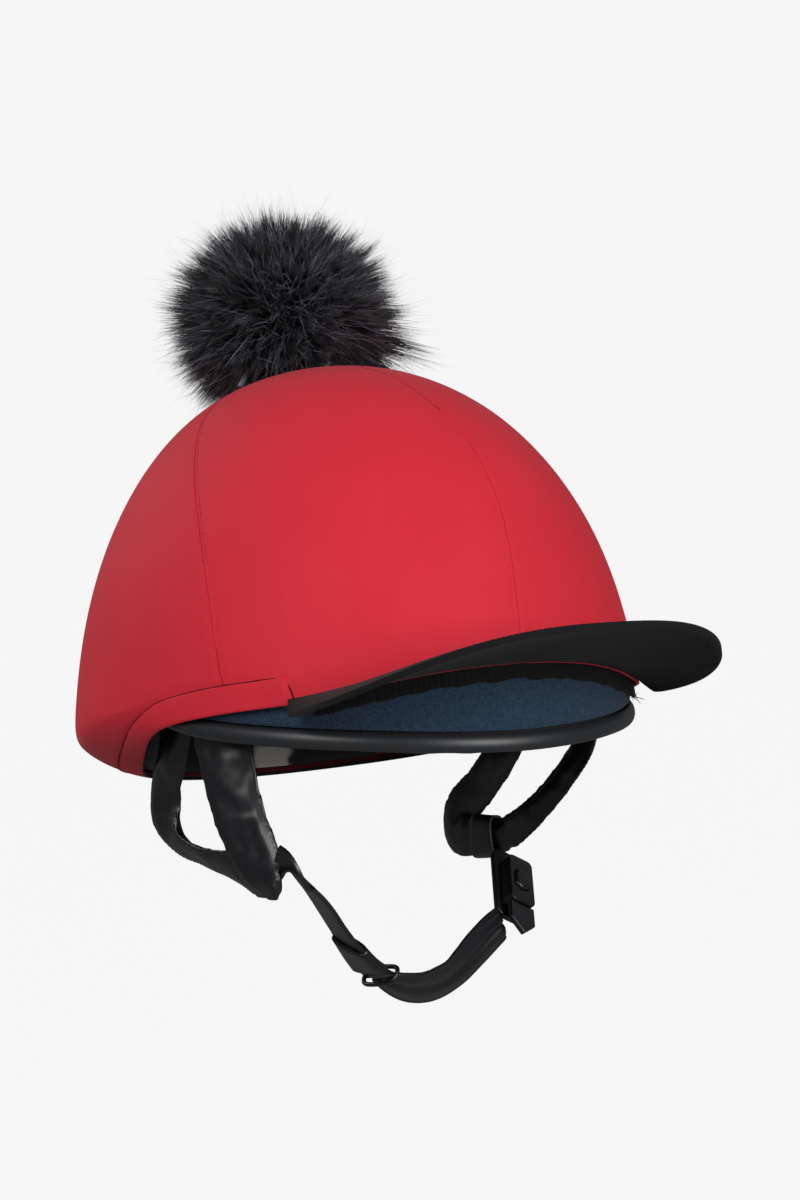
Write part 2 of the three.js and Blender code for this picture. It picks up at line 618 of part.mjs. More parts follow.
// A stretch of a strap, grown by a wall, from one share of its length to another.
function stretchOf(rows, sizes, grow, shares) {
  const [first, last] = shares.map((share) => Math.round(share * sizes.steps));
  return toSolid(bar(strapSections(rows, sizes, grow).slice(first, last + 1)));
}

// The leather sleeve round the chin strap.
const sleeveShares = [0.69, 0.88];
function sleeve() {
  const outside = stretchOf(CHIN_STRAP, chinSizes, gap + sleeveWall, sleeveShares);
  return outside.subtract(toSolid(strap(CHIN_STRAP, chinSizes, gap)));
}

// The rubber ring round the end of the chin strap, where it meets the pad.
function ringLoop() {
  const end = strapFrames(CHIN_STRAP, chinSizes)[chinSizes.steps];
  const { place, run, out, across } = end;
  const clear = ringWire / 2 + 2 * gap;
  const wide = (chinStrapWidth * end.wide) / 2 + clear;
  const tall = (chinPadThick * CHIN_PAD[0].thick) / 2 + clear;
  const square = 0.6;
  const [steps, sides] = [20, 6];
  const loop = [];
  for (let j = 0; j < steps; j++) {
    const turn = (j / steps) * 2 * Math.PI;
    const [c, s] = [Math.cos(turn), Math.sin(turn)];
    const middle = place.clone().addScaledVector(across, wide * bent(c, square));
    middle.addScaledVector(out, tall * bent(s, square));
    const away = across.clone().multiplyScalar(c * tall).addScaledVector(out, s * wide).normalize();
    const section = [];
    for (let i = 0; i < sides; i++) {
      const a = (i / sides) * 2 * Math.PI;
      const point = middle.clone().addScaledVector(away, (Math.cos(a) * ringWire) / 2);
      section.push(point.addScaledVector(run, (Math.sin(a) * ringWire) / 2));
    }
    loop.push(section);
  }
  return toGeometry(toSolid(bar(loop, true)));
}

// A flat plate with rounded corners, centred, with its thickness along +Z from 0.
function plate(width, height, depth, corner) {
  const shape = new THREE.Shape();
  const [x, y] = [width / 2, height / 2];
  shape.moveTo(-x + corner, -y);
  shape.lineTo(x - corner, -y);
  shape.absarc(x - corner, -y + corner, corner, -Math.PI / 2, 0);
  shape.lineTo(x, y - corner);
  shape.absarc(x - corner, y - corner, corner, 0, Math.PI / 2);
  shape.lineTo(-x + corner, y);
  shape.absarc(-x + corner, y - corner, corner, Math.PI / 2, Math.PI);
  shape.lineTo(-x, -y + corner);
  shape.absarc(-x + corner, -y + corner, corner, Math.PI, 1.5 * Math.PI);
  return new THREE.ExtrudeGeometry(shape, { depth, bevelEnabled: false, curveSegments: 4 });
}

// The buckle body, with a pocket for its push button.
function buckleBody() {
  const body = toSolid(plate(buckleWidth, buckleHeight, buckleDepth, buckleWidth / 5));
  const pocketDepth = buckleDepth / 2;
  const pocket = plate(buttonWidth + 2 * gap, buttonHeight + 2 * gap, buckleDepth, buttonWidth / 2);
  pocket.translate(0, 0, buckleDepth - pocketDepth);
  return toGeometry(body.subtract(toSolid(pocket)));
}

function buckleButton() {
  const height = buckleDepth / 2 - gap + buttonProud;
  const button = plate(buttonWidth, buttonHeight, height, buttonWidth / 2 - gap);
  return button.translate(0, 0, buckleDepth / 2 + gap);
}

function bucklePad() {
  const wide = buckleWidth + 2 * bucklePadMargin;
  const high = buckleHeight + bucklePadAbove + bucklePadBelow;
  const pad = plate(wide, high, bucklePadThick, wide / 4);
  return pad.translate(0, (bucklePadAbove - bucklePadBelow) / 2, -bucklePadThick - gap);
}

// The pointed end of the strap, which hangs below the buckle.
function strapEnd() {
  const shape = new THREE.Shape();
  const half = strapEndWidth / 2;
  const shoulder = 0.6 * strapEndLength;
  shape.moveTo(-half, 0);
  shape.lineTo(-half, -shoulder);
  shape.lineTo(0, -strapEndLength);
  shape.lineTo(half, -shoulder);
  shape.lineTo(half, 0);
  const tab = new THREE.ExtrudeGeometry(shape, { depth: chinStrapThick, bevelEnabled: false });
  return tab.translate((buckleWidth - strapEndWidth) / 2, -buckleHeight / 2 - gap, buckleDepth / 2);
}

// The leather loop that keeps the straps together above the buckle.
const keeperShares = [0.83, 0.95];
function keeperLoop() {
  const outside = stretchOf(LEFT_REAR, rearSizes, gap + keeperWall, keeperShares);
  return outside.subtract(earStrap(LEFT_REAR, LEFT_FRONT, gap));
}

const cap = new THREE.Group();
const finish = {
  stretch: { color: 0xcc3342, roughness: 0.75, metalness: 0 },
  fabric: { color: 0x161618, roughness: 0.8, metalness: 0 },
  fur: { color: 0x111013, roughness: 0.9, metalness: 0 },
  flock: { color: 0x1c2834, roughness: 0.95, metalness: 0 },
  rubber: { color: 0x222427, roughness: 0.45, metalness: 0 },
  lining: { color: 0x0c0c0d, roughness: 0.9, metalness: 0 },
  pale: { color: 0xb9b3a8, roughness: 0.7, metalness: 0 },
  leather: { color: 0x1d1b1f, roughness: 0.4, metalness: 0 },
  plastic: { color: 0x141416, roughness: 0.35, metalness: 0 },
};
function add(name, geometry, look, parent = cap) {
  const mesh = new THREE.Mesh(geometry, new THREE.MeshStandardMaterial(finish[look]));
  mesh.name = name;
  parent.add(mesh);
  return mesh;
}

add("crown_panel_front_left", panel(1, "front", "side", FRONT_COLUMNS), "stretch");
add("crown_panel_front_right", panel(-1, "front", "side", FRONT_COLUMNS), "stretch");
add("crown_panel_rear_left", panel(1, "side", "rear", REAR_COLUMNS), "stretch");
add("crown_panel_rear_right", panel(-1, "side", "rear", REAR_COLUMNS), "stretch");
add("cover_hem", hem(), "stretch");
add("peak", peak(), "fabric");
add("grip_elastic", gripElastic(), "fabric");
add("pompom", pompom(), "fur");
add("shell", shell(), "flock");
add("rim_trim", rimTrim(), "rubber");
add("liner", liner(0), "lining");
add("nape_band", napeBand(), "pale");
add("ear_strap_right", toGeometry(earStrap(RIGHT_REAR, RIGHT_FRONT)), "leather");
add("ear_strap_left", toGeometry(earStrap(LEFT_REAR, LEFT_FRONT)), "leather");
add("keeper_loop", toGeometry(keeperLoop()), "leather");
add("chin_strap", toGeometry(chinStrap()), "leather");
add("strap_sleeve", toGeometry(sleeve()), "leather");
add("o_ring", ringLoop(), "rubber");
add("chin_pad", strap(CHIN_PAD, padSizes), "leather");

// The buckle hangs from the left ear strap down to the end of the chin pad.
const buckle = new THREE.Group();
const buckleAt = ({ out, back, down }) => V(out * earHalfWidth, back * halfLength, -down * chinDrop);
const buckleTop = buckleAt({ out: 0.85, back: 0.005, down: 0.535 });
const buckleFoot = buckleAt({ out: 0.72, back: -0.11, down: 0.775 });
const buckleUp = buckleTop.clone().sub(buckleFoot).normalize();
const buckleOut = V(0.1, -1, 0).addScaledVector(buckleUp, buckleUp.y).normalize();
const buckleAcross = buckleUp.clone().cross(buckleOut);
buckle.quaternion.setFromRotationMatrix(
  new THREE.Matrix4().makeBasis(buckleAcross, buckleUp, buckleOut),
);
buckle.position.copy(buckleTop.clone().lerp(buckleFoot, 0.5));
cap.add(buckle);
add("buckle_body", buckleBody(), "plastic", buckle);
add("buckle_button", buckleButton(), "plastic", buckle);
add("buckle_pad", bucklePad(), "leather", buckle);
add("strap_end", strapEnd(), "leather", buckle);

export default cap;
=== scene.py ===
# %% [markdown]
# # A riding cap with a fur pompom
# The cap is a hard skull cap in a stretched red cover. A black peak is sewn to the cover, a fur ball
# sits on top, and a padded leather harness hangs below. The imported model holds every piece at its
# real size. This lesson gives each piece its finished surface. It copies a plain solid and refines
# it, or sweeps, scatters and inflates new geometry in the same place.

# %% Load the frame
import math

import bpy
import numpy as np
from mathutils import Matrix, Vector, noise
from mathutils.bvhtree import BVHTree
from mathutils.kdtree import KDTree


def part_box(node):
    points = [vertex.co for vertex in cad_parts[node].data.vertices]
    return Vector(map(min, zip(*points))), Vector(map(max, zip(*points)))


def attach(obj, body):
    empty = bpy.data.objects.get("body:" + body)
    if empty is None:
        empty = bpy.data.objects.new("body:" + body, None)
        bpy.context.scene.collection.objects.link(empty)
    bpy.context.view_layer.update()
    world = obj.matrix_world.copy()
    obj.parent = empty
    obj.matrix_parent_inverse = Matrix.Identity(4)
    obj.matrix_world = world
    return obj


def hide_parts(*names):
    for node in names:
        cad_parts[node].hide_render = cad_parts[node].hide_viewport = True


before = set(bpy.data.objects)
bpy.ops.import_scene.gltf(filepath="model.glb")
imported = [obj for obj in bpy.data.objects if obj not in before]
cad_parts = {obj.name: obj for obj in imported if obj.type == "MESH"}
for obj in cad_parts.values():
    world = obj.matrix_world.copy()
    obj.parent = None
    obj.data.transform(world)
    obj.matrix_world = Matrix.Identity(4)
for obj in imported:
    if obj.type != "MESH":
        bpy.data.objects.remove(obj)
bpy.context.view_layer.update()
mm = 0.001

# %% [markdown]
# ## Camera
# A product photo of a cap is taken from a little below the rim, so that the straps and the dark
# underside of the peak show. The camera could be placed by eye, but the picture is matched closely
# when its place is worked out from three facts: the turn to the wearer's right, the height, and the
# pixel at which the middle of the head opening lies.

# %% Camera
picture_width, picture_height = 800, 1200
camera_turn = math.radians(30)
camera_rise = math.radians(-5)
camera_roll = 0.10
camera_distance = 1.3
pixels_per_metre = 2370
opening_pixel = (360.5, 744.0)

level = math.cos(camera_rise)
camera_back = Vector((-math.sin(camera_turn) * level, -math.cos(camera_turn) * level, math.sin(camera_rise)))
flat_right = Vector((math.cos(camera_turn), -math.sin(camera_turn), 0))
flat_up = camera_back.cross(flat_right)
camera_right = math.cos(camera_roll) * flat_right - math.sin(camera_roll) * flat_up
camera_up = math.sin(camera_roll) * flat_right + math.cos(camera_roll) * flat_up
across = (picture_width / 2 - opening_pixel[0]) / pixels_per_metre
down = (opening_pixel[1] - picture_height / 2) / pixels_per_metre
camera_place = across * camera_right + down * camera_up + camera_distance * camera_back

bpy.ops.object.camera_add()
camera = bpy.context.object
camera.matrix_world = Matrix.Translation(camera_place) @ Matrix(
    (camera_right, camera_up, camera_back)
).transposed().to_4x4()
camera.data.sensor_width = 36
camera.data.lens = 36 * pixels_per_metre * camera_distance / picture_height
camera.data.clip_start = 0.05
bpy.context.scene.camera = camera
print("lens", round(camera.data.lens, 1), "mm")

# %% [markdown]
# ## Helpers
# Operators act on whatever is selected, so each step first selects one object alone. A copied solid
# arrives as loose triangles: its doubles are merged and its triangles joined into quads, so that a
# subdivision surface can round it. Edges that must stay crisp, such as the cut edge of a cloth, are
# found by their angle and creased before the subdivision.

# %% Selecting, copying and refining


def only(piece):
    """Selects one object and makes it the active one."""
    bpy.ops.object.select_all(action="DESELECT")
    piece.select_set(True)
    bpy.context.view_layer.objects.active = piece


def edited(piece, operator, **settings):
    """Runs one operator on all of a piece's mesh in edit mode."""
    only(piece)
    bpy.ops.object.mode_set(mode="EDIT")
    bpy.ops.mesh.select_all(action="SELECT")
    operator(**settings)
    bpy.ops.object.mode_set(mode="OBJECT")
    return piece


def linked(name, mesh):
    """A new object for a mesh, in the scene."""
    piece = bpy.data.objects.new(name, mesh)
    bpy.context.scene.collection.objects.link(piece)
    return piece


def copy_of(node, name):
    """A merged copy of a node's mesh, with quads where its triangles came in pairs."""
    piece = linked(name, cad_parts[node].data.copy())
    piece.data.materials.clear()
    only(piece)
    bpy.ops.object.mode_set(mode="EDIT")
    bpy.ops.mesh.select_all(action="SELECT")
    bpy.ops.mesh.remove_doubles(threshold=0.00001)
    bpy.ops.mesh.tris_convert_to_quads(face_threshold=math.radians(50), shape_threshold=math.radians(60))
    bpy.ops.object.mode_set(mode="OBJECT")
    return piece


def crease_sharp(piece, angle):
    """Creases the edges whose faces meet at more than an angle in degrees."""
    only(piece)
    bpy.ops.object.mode_set(mode="EDIT")
    bpy.ops.mesh.select_mode(type="EDGE")
    bpy.ops.mesh.select_all(action="DESELECT")
    bpy.ops.mesh.edges_select_sharp(sharpness=math.radians(angle))
    bpy.ops.transform.edge_crease(value=1)
    bpy.ops.mesh.select_all(action="DESELECT")
    bpy.ops.object.mode_set(mode="OBJECT")


def modified(piece, kind, **settings):
    """Adds a modifier, sets it up and applies it."""
    only(piece)
    added = piece.modifiers.new(kind.lower(), kind)
    for key, value in settings.items():
        setattr(added, key, value)
    bpy.ops.object.modifier_apply(modifier=added.name)
    return piece


def subdivided(piece, levels):
    return modified(piece, "SUBSURF", levels=levels, render_levels=levels)


def softened(piece, times):
    return modified(piece, "SMOOTH", factor=0.5, iterations=times)


def bevelled(piece, width, segments, angle):
    """Rounds the edges whose faces meet at more than an angle in degrees."""
    return modified(piece, "BEVEL", width=width, segments=segments, limit_method="ANGLE",
                    angle_limit=math.radians(angle))


def smooth(piece, angle):
    only(piece)
    bpy.ops.object.shade_smooth_by_angle(angle=math.radians(angle))
    return piece


def places(piece):
    """The vertices' places and normals as two arrays."""
    count = len(piece.data.vertices)
    spots = np.empty(count * 3)
    normals = np.empty(count * 3)
    piece.data.vertices.foreach_get("co", spots)
    piece.data.vertices.foreach_get("normal", normals)
    return spots.reshape(-1, 3), normals.reshape(-1, 3)


def put(piece, spots):
    piece.data.vertices.foreach_set("co", np.asarray(spots, float).ravel())
    piece.data.update()


def rippled(piece, height, waves):
    """Moves a surface in and out by noise with a number of waves to the metre."""
    spots, normals = places(piece)
    for i, spot in enumerate(spots):
        spots[i] += normals[i] * height * noise.noise(Vector(spot) * waves)
    put(piece, spots)


def tree_of(*pieces):
    """A tree of all their faces, to find the nearest point of a surface."""
    spots, faces = [], []
    for piece in pieces:
        start = len(spots)
        spots += [v.co.copy() for v in piece.data.vertices]
        faces += [[start + i for i in p.vertices] for p in piece.data.polygons]
    return BVHTree.FromPolygons(spots, faces)


def done(piece, slot, material, *nodes):
    """Gives a finished piece its material and its place in the object."""
    piece.data.materials.clear()
    piece.data.materials.append(material)
    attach(piece, "root")
    if nodes:
        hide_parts(*nodes)


# %% [markdown]
# A stitch, a hair and a loose thread are each modelled once and copied many times. One small mesh is
# turned and stretched into each place by arithmetic on arrays, which is far quicker than thousands
# of objects, and gives one mesh that exports as it is.

# %% Copying a small mesh to many places


def scattered(name, template, origins, ends, sides, widths):
    """Copies a template that lies along +Z from 0 to 1, one copy from each origin to its end."""
    spots, _ = places(template)
    faces = np.array([p.vertices[:] for p in template.data.polygons])
    along = ends - origins
    unit = along / np.linalg.norm(along, axis=1, keepdims=True)
    third = np.cross(unit, sides)
    third /= np.linalg.norm(third, axis=1, keepdims=True)
    second = np.cross(third, unit)
    wide = np.asarray(widths).reshape(-1, 1, 1)
    all_spots = (
        origins[:, None]
        + spots[None, :, 2:3] * along[:, None]
        + spots[None, :, 0:1] * second[:, None] * wide
        + spots[None, :, 1:2] * third[:, None] * wide
    )
    shifts = np.arange(len(origins)) * len(spots)
    return mesh_from(name, all_spots.reshape(-1, 3), (faces[None] + shifts[:, None, None]).reshape(-1, 3))


def mesh_from(name, spots, triangles):
    mesh = bpy.data.meshes.new(name)
    mesh.vertices.add(len(spots))
    mesh.vertices.foreach_set("co", spots.ravel())
    mesh.loops.add(triangles.size)
    mesh.loops.foreach_set("vertex_index", triangles.ravel().astype(np.int32))
    mesh.polygons.add(len(triangles))
    mesh.polygons.foreach_set("loop_start", np.arange(0, triangles.size, 3, dtype=np.int32))
    mesh.polygons.foreach_set("loop_total", np.full(len(triangles), 3, dtype=np.int32))
    mesh.update(calc_edges=True)
    mesh.validate()
    return linked(name, mesh)


def stitch_template():
    """A thread between two holes: a small ball stretched to a length of 1 along +Z."""
    bpy.ops.object.select_all(action="DESELECT")
    bpy.ops.mesh.primitive_ico_sphere_add(subdivisions=1, radius=0.5)
    return edited(bpy.context.object, bpy.ops.transform.translate, value=(0, 0, 0.5))


stitch = stitch_template()


def spaced(path, step):
    """Points every step along a path, with the path's direction at each."""
    path = np.asarray(path, float)
    lengths = np.concatenate([[0], np.cumsum(np.linalg.norm(np.diff(path, axis=0), axis=1))])
    wanted = np.arange(step / 2, lengths[-1], step)
    points = np.stack([np.interp(wanted, lengths, path[:, k]) for k in range(3)], 1)
    return points, np.gradient(points, axis=0) if len(points) > 1 else np.zeros_like(points)


def stitched(name, path, tree, length, step, thick, shift=0.0, lift=0.02 * mm):
    """A row of stitches on a surface, moved sideways from its path by a shift."""
    points, runs = spaced(path, step)
    origins, ends, ups = [], [], []
    for point, run in zip(points, runs):
        run = Vector(run).normalized()
        spot, normal, _, _ = tree.find_nearest(Vector(point))
        side = normal.cross(run).normalized()
        spot, normal, _, _ = tree.find_nearest(Vector(point) + side * shift)
        spot = spot + normal * lift
        origins.append(spot - run * length / 2)
        ends.append(spot + run * length / 2)
        ups.append(normal)
    thicks = np.full(len(points), thick)
    return scattered(name, stitch, np.array(origins), np.array(ends), np.array(ups), thicks)


# %% [markdown]
# ## Finishes
# Each finish is a Principled surface whose colour, roughness and bump come from noise on Object
# coordinates, which are real metres here, so a weave can be given its real pitch. Two effects are
# used by several finishes and become node groups: a mottle that varies a colour over the surface,
# and a grain that gives a height for bump.

# %% Shader groups


def new_group(name, inputs, outputs):
    group = bpy.data.node_groups.new(name, "ShaderNodeTree")
    for title, kind, value in inputs:
        socket = group.interface.new_socket(name=title, in_out="INPUT", socket_type=kind)
        if value is not None:
            socket.default_value = value
    for title, kind in outputs:
        group.interface.new_socket(name=title, in_out="OUTPUT", socket_type=kind)
    start = group.nodes.new("NodeGroupInput")
    end = group.nodes.new("NodeGroupOutput")
    return group, start, end


def sized(group, start, title, kind):
    """A texture on the group's vector whose size in metres is one of the group's inputs."""
    inverse = group.nodes.new("ShaderNodeMath")
    inverse.operation = "DIVIDE"
    inverse.inputs[0].default_value = 1
    texture = group.nodes.new(kind)
    group.links.new(start.outputs[title], inverse.inputs[1])
    group.links.new(start.outputs["Vector"], texture.inputs["Vector"])
    group.links.new(inverse.outputs[0], texture.inputs["Scale"])
    return texture


def mottle_group():
    """Mixes two colours by noise at a size in metres."""
    group, start, end = new_group(
        "mottle",
        [("Vector", "NodeSocketVector", None), ("Size", "NodeSocketFloat", 0.02),
         ("Light", "NodeSocketColor", None), ("Dark", "NodeSocketColor", None)],
        [("Color", "NodeSocketColor")],
    )
    cloud = sized(group, start, "Size", "ShaderNodeTexNoise")
    cloud.inputs["Detail"].default_value = 4
    mix = group.nodes.new("ShaderNodeMix")
    mix.data_type = "RGBA"
    link = group.links.new
    link(cloud.outputs["Fac"], mix.inputs["Factor"])
    link(start.outputs["Dark"], mix.inputs["A"])
    link(start.outputs["Light"], mix.inputs["B"])
    link(mix.outputs["Result"], end.inputs["Color"])
    return group


def grain_group():
    """A height from rounded cells and from fine noise, both at a size in metres."""
    group, start, end = new_group(
        "grain",
        [("Vector", "NodeSocketVector", None), ("Cell Size", "NodeSocketFloat", 0.001),
         ("Noise Size", "NodeSocketFloat", 0.002), ("Noise Share", "NodeSocketFloat", 0.5)],
        [("Height", "NodeSocketFloat")],
    )
    cells = sized(group, start, "Cell Size", "ShaderNodeTexVoronoi")
    fine = sized(group, start, "Noise Size", "ShaderNodeTexNoise")
    mix = group.nodes.new("ShaderNodeMix")
    link = group.links.new
    link(start.outputs["Noise Share"], mix.inputs["Factor"])
    link(cells.outputs["Distance"], mix.inputs["A"])
    link(fine.outputs["Fac"], mix.inputs["B"])
    link(mix.outputs["Result"], end.inputs["Height"])
    return group


mottle = mottle_group()
grain = grain_group()

# %% [markdown]
# One function builds every finish from these groups. Its numbers are the real sizes of the grain and
# the colours read from a photo, turned from screen values into the linear ones that a shader uses.

# %% Finishes


def linear(red, green, blue):
    """A screen colour from 0 to 255 as the linear colour of a shader."""
    shares = [value / 255 for value in (red, green, blue)]
    return (*[s / 12.92 if s <= 0.04 else ((s + 0.055) / 1.055) ** 2.4 for s in shares], 1)


def new_material(name, **sockets):
    """A material with its Principled shader set up, its nodes and the function that links them."""
    material = bpy.data.materials.new(name)
    material.use_nodes = True
    nodes = material.node_tree.nodes
    shader = nodes["Principled BSDF"]
    for title, value in sockets.items():
        shader.inputs[title.replace("_", " ")].default_value = value
    return material, shader, nodes, material.node_tree.links.new


def finish(name, light, dark, size=0.02, cell=0.0008, fine=0.0015, share=0.5, bump=0.3, depth=0.1 * mm,
           rough=0.6, **sockets):
    material, shader, nodes, link = new_material(name, Roughness=rough, **sockets)
    coordinates = nodes.new("ShaderNodeTexCoord")
    colour = nodes.new("ShaderNodeGroup")
    colour.node_tree = mottle
    colour.inputs["Size"].default_value = size
    colour.inputs["Light"].default_value = light
    colour.inputs["Dark"].default_value = dark
    height = nodes.new("ShaderNodeGroup")
    height.node_tree = grain
    height.inputs["Cell Size"].default_value = cell
    height.inputs["Noise Size"].default_value = fine
    height.inputs["Noise Share"].default_value = share
    relief = nodes.new("ShaderNodeBump")
    relief.inputs["Strength"].default_value = bump
    relief.inputs["Distance"].default_value = depth
    for group in (colour, height):
        link(coordinates.outputs["Object"], group.inputs["Vector"])
    link(colour.outputs["Color"], shader.inputs["Base Color"])
    link(height.outputs["Height"], relief.inputs["Height"])
    link(relief.outputs["Normal"], shader.inputs["Normal"])
    return material


def overlaid(look, name, attribute, colour):
    """A copy of a finish that turns to a second colour where an attribute of the piece is 1."""
    copy = look.copy()
    copy.name = name
    nodes, link = copy.node_tree.nodes, copy.node_tree.links.new
    shown = nodes.new("ShaderNodeAttribute")
    shown.attribute_name = attribute
    mix = nodes.new("ShaderNodeMix")
    mix.data_type = "RGBA"
    mix.inputs["B"].default_value = colour
    base = nodes["Principled BSDF"].inputs["Base Color"]
    link(base.links[0].from_socket, mix.inputs["A"])
    link(shown.outputs["Fac"], mix.inputs["Factor"])
    link(mix.outputs["Result"], base)
    return copy


def painted(piece, attribute, values):
    layer = piece.data.attributes.new(attribute, "FLOAT", "POINT")
    layer.data.foreach_set("value", np.asarray(values, np.float32))


stretch_cloth = finish(
    "stretch_cloth", linear(214, 46, 60), linear(204, 38, 53), size=0.03, cell=0.0007, fine=0.0011,
    depth=0.12 * mm, rough=0.68, Sheen_Weight=0.05, Sheen_Roughness=0.4, Specular_IOR_Level=0.15)
red_thread = finish("red_thread", linear(70, 18, 26), linear(48, 14, 20), rough=0.7)
hem_thread = finish("hem_thread", linear(150, 24, 38), linear(122, 18, 30), rough=0.7)
peak_cloth = finish(
    "peak_cloth", linear(23, 23, 24), linear(16, 16, 17), size=0.01, cell=0.0006, fine=0.0009,
    bump=0.4, rough=0.85, Sheen_Weight=0.05, Specular_IOR_Level=0.15)
black_thread = finish("black_thread", linear(20, 20, 22), linear(12, 12, 14))
elastic_cloth = finish(
    "elastic_cloth", linear(19, 19, 21), linear(9, 9, 10), size=0.002, fine=0.0011,
    bump=0.8, depth=0.25 * mm, rough=0.85, Sheen_Weight=0.05, Specular_IOR_Level=0.2)
flocked = finish(
    "flocked", linear(58, 78, 98), linear(17, 31, 46), size=0.0011, cell=0.0007, fine=0.0008,
    share=0.7, bump=0.9, depth=0.3 * mm, rough=0.95, Sheen_Weight=0.1, Specular_IOR_Level=0.1)
satin_rubber = finish(
    "satin_rubber", linear(37, 39, 42), linear(30, 32, 35), cell=0.002, fine=0.004,
    bump=0.08, rough=0.42, Specular_IOR_Level=0.5)
black_lining = finish(
    "black_lining", linear(16, 16, 17), linear(9, 9, 10), size=0.01, cell=0.001, bump=0.4, rough=0.8)
soft_leather = finish(
    "soft_leather", linear(21, 19, 25), linear(13, 12, 17), size=0.01, cell=0.0006, fine=0.0022,
    bump=0.22, depth=0.08 * mm, rough=0.36, Specular_IOR_Level=0.6)
harness_thread = finish("harness_thread", linear(20, 21, 36), linear(12, 13, 24), rough=0.55)
black_plastic = finish(
    "black_plastic", linear(19, 20, 20), linear(14, 15, 15), size=0.01, cell=0.0006, fine=0.001,
    bump=0.06, depth=0.05 * mm, rough=0.3)
o_ring_rubber = finish("o_ring_rubber", linear(18, 18, 19), linear(12, 12, 13), bump=0.05, rough=0.35)

# %% [markdown]
# ## The cover
# The cover is cut in four panels of a two-way stretch knit and drawn over the shell, so it has no
# loose folds, and only its seams tell it from a painted ball. A subdivision surface on a copy of each
# panel gives the even curve. Near a seam the cloth dips towards the thread, and the pull of the
# thread puckers it a little; both are moves of the vertices by their distance from the seam.

# %% Panels
panel_names = [f"crown_panel_{end}_{side}" for end in ("front", "rear") for side in ("left", "right")]
cover_names = panel_names + ["cover_hem"]
cover = {}
for node in cover_names:
    piece = copy_of(node, node.replace("crown_panel", "cloth").replace("cover_hem", "cloth_hem"))
    crease_sharp(piece, 60)
    cover[node] = subdivided(piece, 3 if node != "cover_hem" else 2)


seam_gap = 0.6 * mm
inner_side_gap = (0.5 * mm, 2.2 * mm)


def seam_between(first, second):
    """The shared edge of two panels, on their outer side, as points in order of height."""
    nearby = KDTree(len(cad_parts[second].data.vertices))
    for i, vertex in enumerate(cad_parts[second].data.vertices):
        nearby.insert(vertex.co, i)
    nearby.balance()
    found = {}
    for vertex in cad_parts[first].data.vertices:
        spot, _, away = nearby.find(vertex.co)
        if away < seam_gap:
            found[tuple(round(x / mm, 2) for x in vertex.co)] = (vertex.co + spot) / 2
    points = sorted(found.values(), key=lambda p: -p.z)
    least, most = inner_side_gap
    return [p for p in points
            if not any(least < (p - q).length < most and q.length > p.length for q in points)]


seams = {
    "front": seam_between("crown_panel_front_left", "crown_panel_front_right"),
    "rear": seam_between("crown_panel_rear_left", "crown_panel_rear_right"),
    "left": seam_between("crown_panel_front_left", "crown_panel_rear_left"),
    "right": seam_between("crown_panel_front_right", "crown_panel_rear_right"),
}


def hem_seam():
    """The upper edge of the hem, from one corner of the peak round the back to the other."""
    points = []
    for node in panel_names:
        points += seam_between("cover_hem", node)
    points.sort(key=lambda p: math.atan2(p.x, -p.y) % (2 * math.pi))
    return points


seams["hem"] = hem_seam()
print({name: len(path) for name, path in seams.items()})
most_seam_points = 4000
seam_step = 1.2 * mm
seam_tree = KDTree(most_seam_points)
for number, path in enumerate(seams.values()):
    for point in spaced(path, seam_step)[0]:
        seam_tree.insert(Vector(point), number)
seam_tree.balance()

dip_depth = 0.55 * mm
hem_dip_depth = 0.25 * mm
hem_number = list(seams).index("hem")
dip_width = 1.3 * mm
pucker = 0.16 * mm
pucker_width = 4 * mm
pucker_waves = 420
seam_reach = 9 * mm
for node, piece in cover.items():
    spots, normals = places(piece)
    for i, spot in enumerate(spots):
        place = Vector(spot)
        _, number, away = seam_tree.find(place)
        if away > seam_reach:
            continue
        ripple = noise.noise(place * pucker_waves) * pucker * math.exp(-((away / pucker_width) ** 2))
        dip = (hem_dip_depth if number == hem_number else dip_depth) * math.exp(-((away / dip_width) ** 2))
        spots[i] += normals[i] * (ripple - dip) * (1 if normals[i] @ spot > 0 else -1)
    put(piece, spots)
    smooth(piece, 50)
    done(piece, "stretch_cloth", stretch_cloth, node)
    print(piece.name, len(piece.data.polygons), "faces")

# %% [markdown]
# The hem's inner face is painted near black as painted shade, and so is its downward face at the rear on the
# wearer's left, where the cover turns away from the light. It is painted by an attribute.

# %% Painted shade on the hem
hem_piece = cover["cover_hem"]
spots, normals = places(hem_piece)
inward = -(normals[:, 0] * spots[:, 0] + normals[:, 1] * spots[:, 1]) / np.linalg.norm(spots[:, :2], axis=1)
# where the painted shade on the downward face starts across the wearer's left, and how fast it fades in
underside_shade_from = 22 * mm
underside_shade_fade = 4 * mm
# painted shade on the hem's inner face
inside = np.clip(inward * 4 - 1, 0, 1)
# painted shade on the downward face, at the rear on the wearer's left
shaded_underside = np.clip((spots[:, 0] - underside_shade_from) / underside_shade_fade, 0, 1) * np.clip(-normals[:, 2] * 4 - 1, 0, 1)
painted(hem_piece, "painted_shade", np.maximum(inside, shaded_underside * (spots[:, 1] > 0)))
# near-black painted shade mixed into the red cloth where the attribute is 1
hem_shade_look = overlaid(stretch_cloth, "stretch_cloth_hem", "painted_shade", linear(16, 16, 17))
done(hem_piece, "stretch_cloth", hem_shade_look, "cover_hem")

cover_tree = tree_of(*cover.values())

# %% [markdown]
# The threads are separate small meshes on the cloth: a fine dotted row along the hem, and a row beside
# each side seam that shows only near the top, where the cloth is stretched most. The front and rear
# seams are sewn from inside and show no thread.

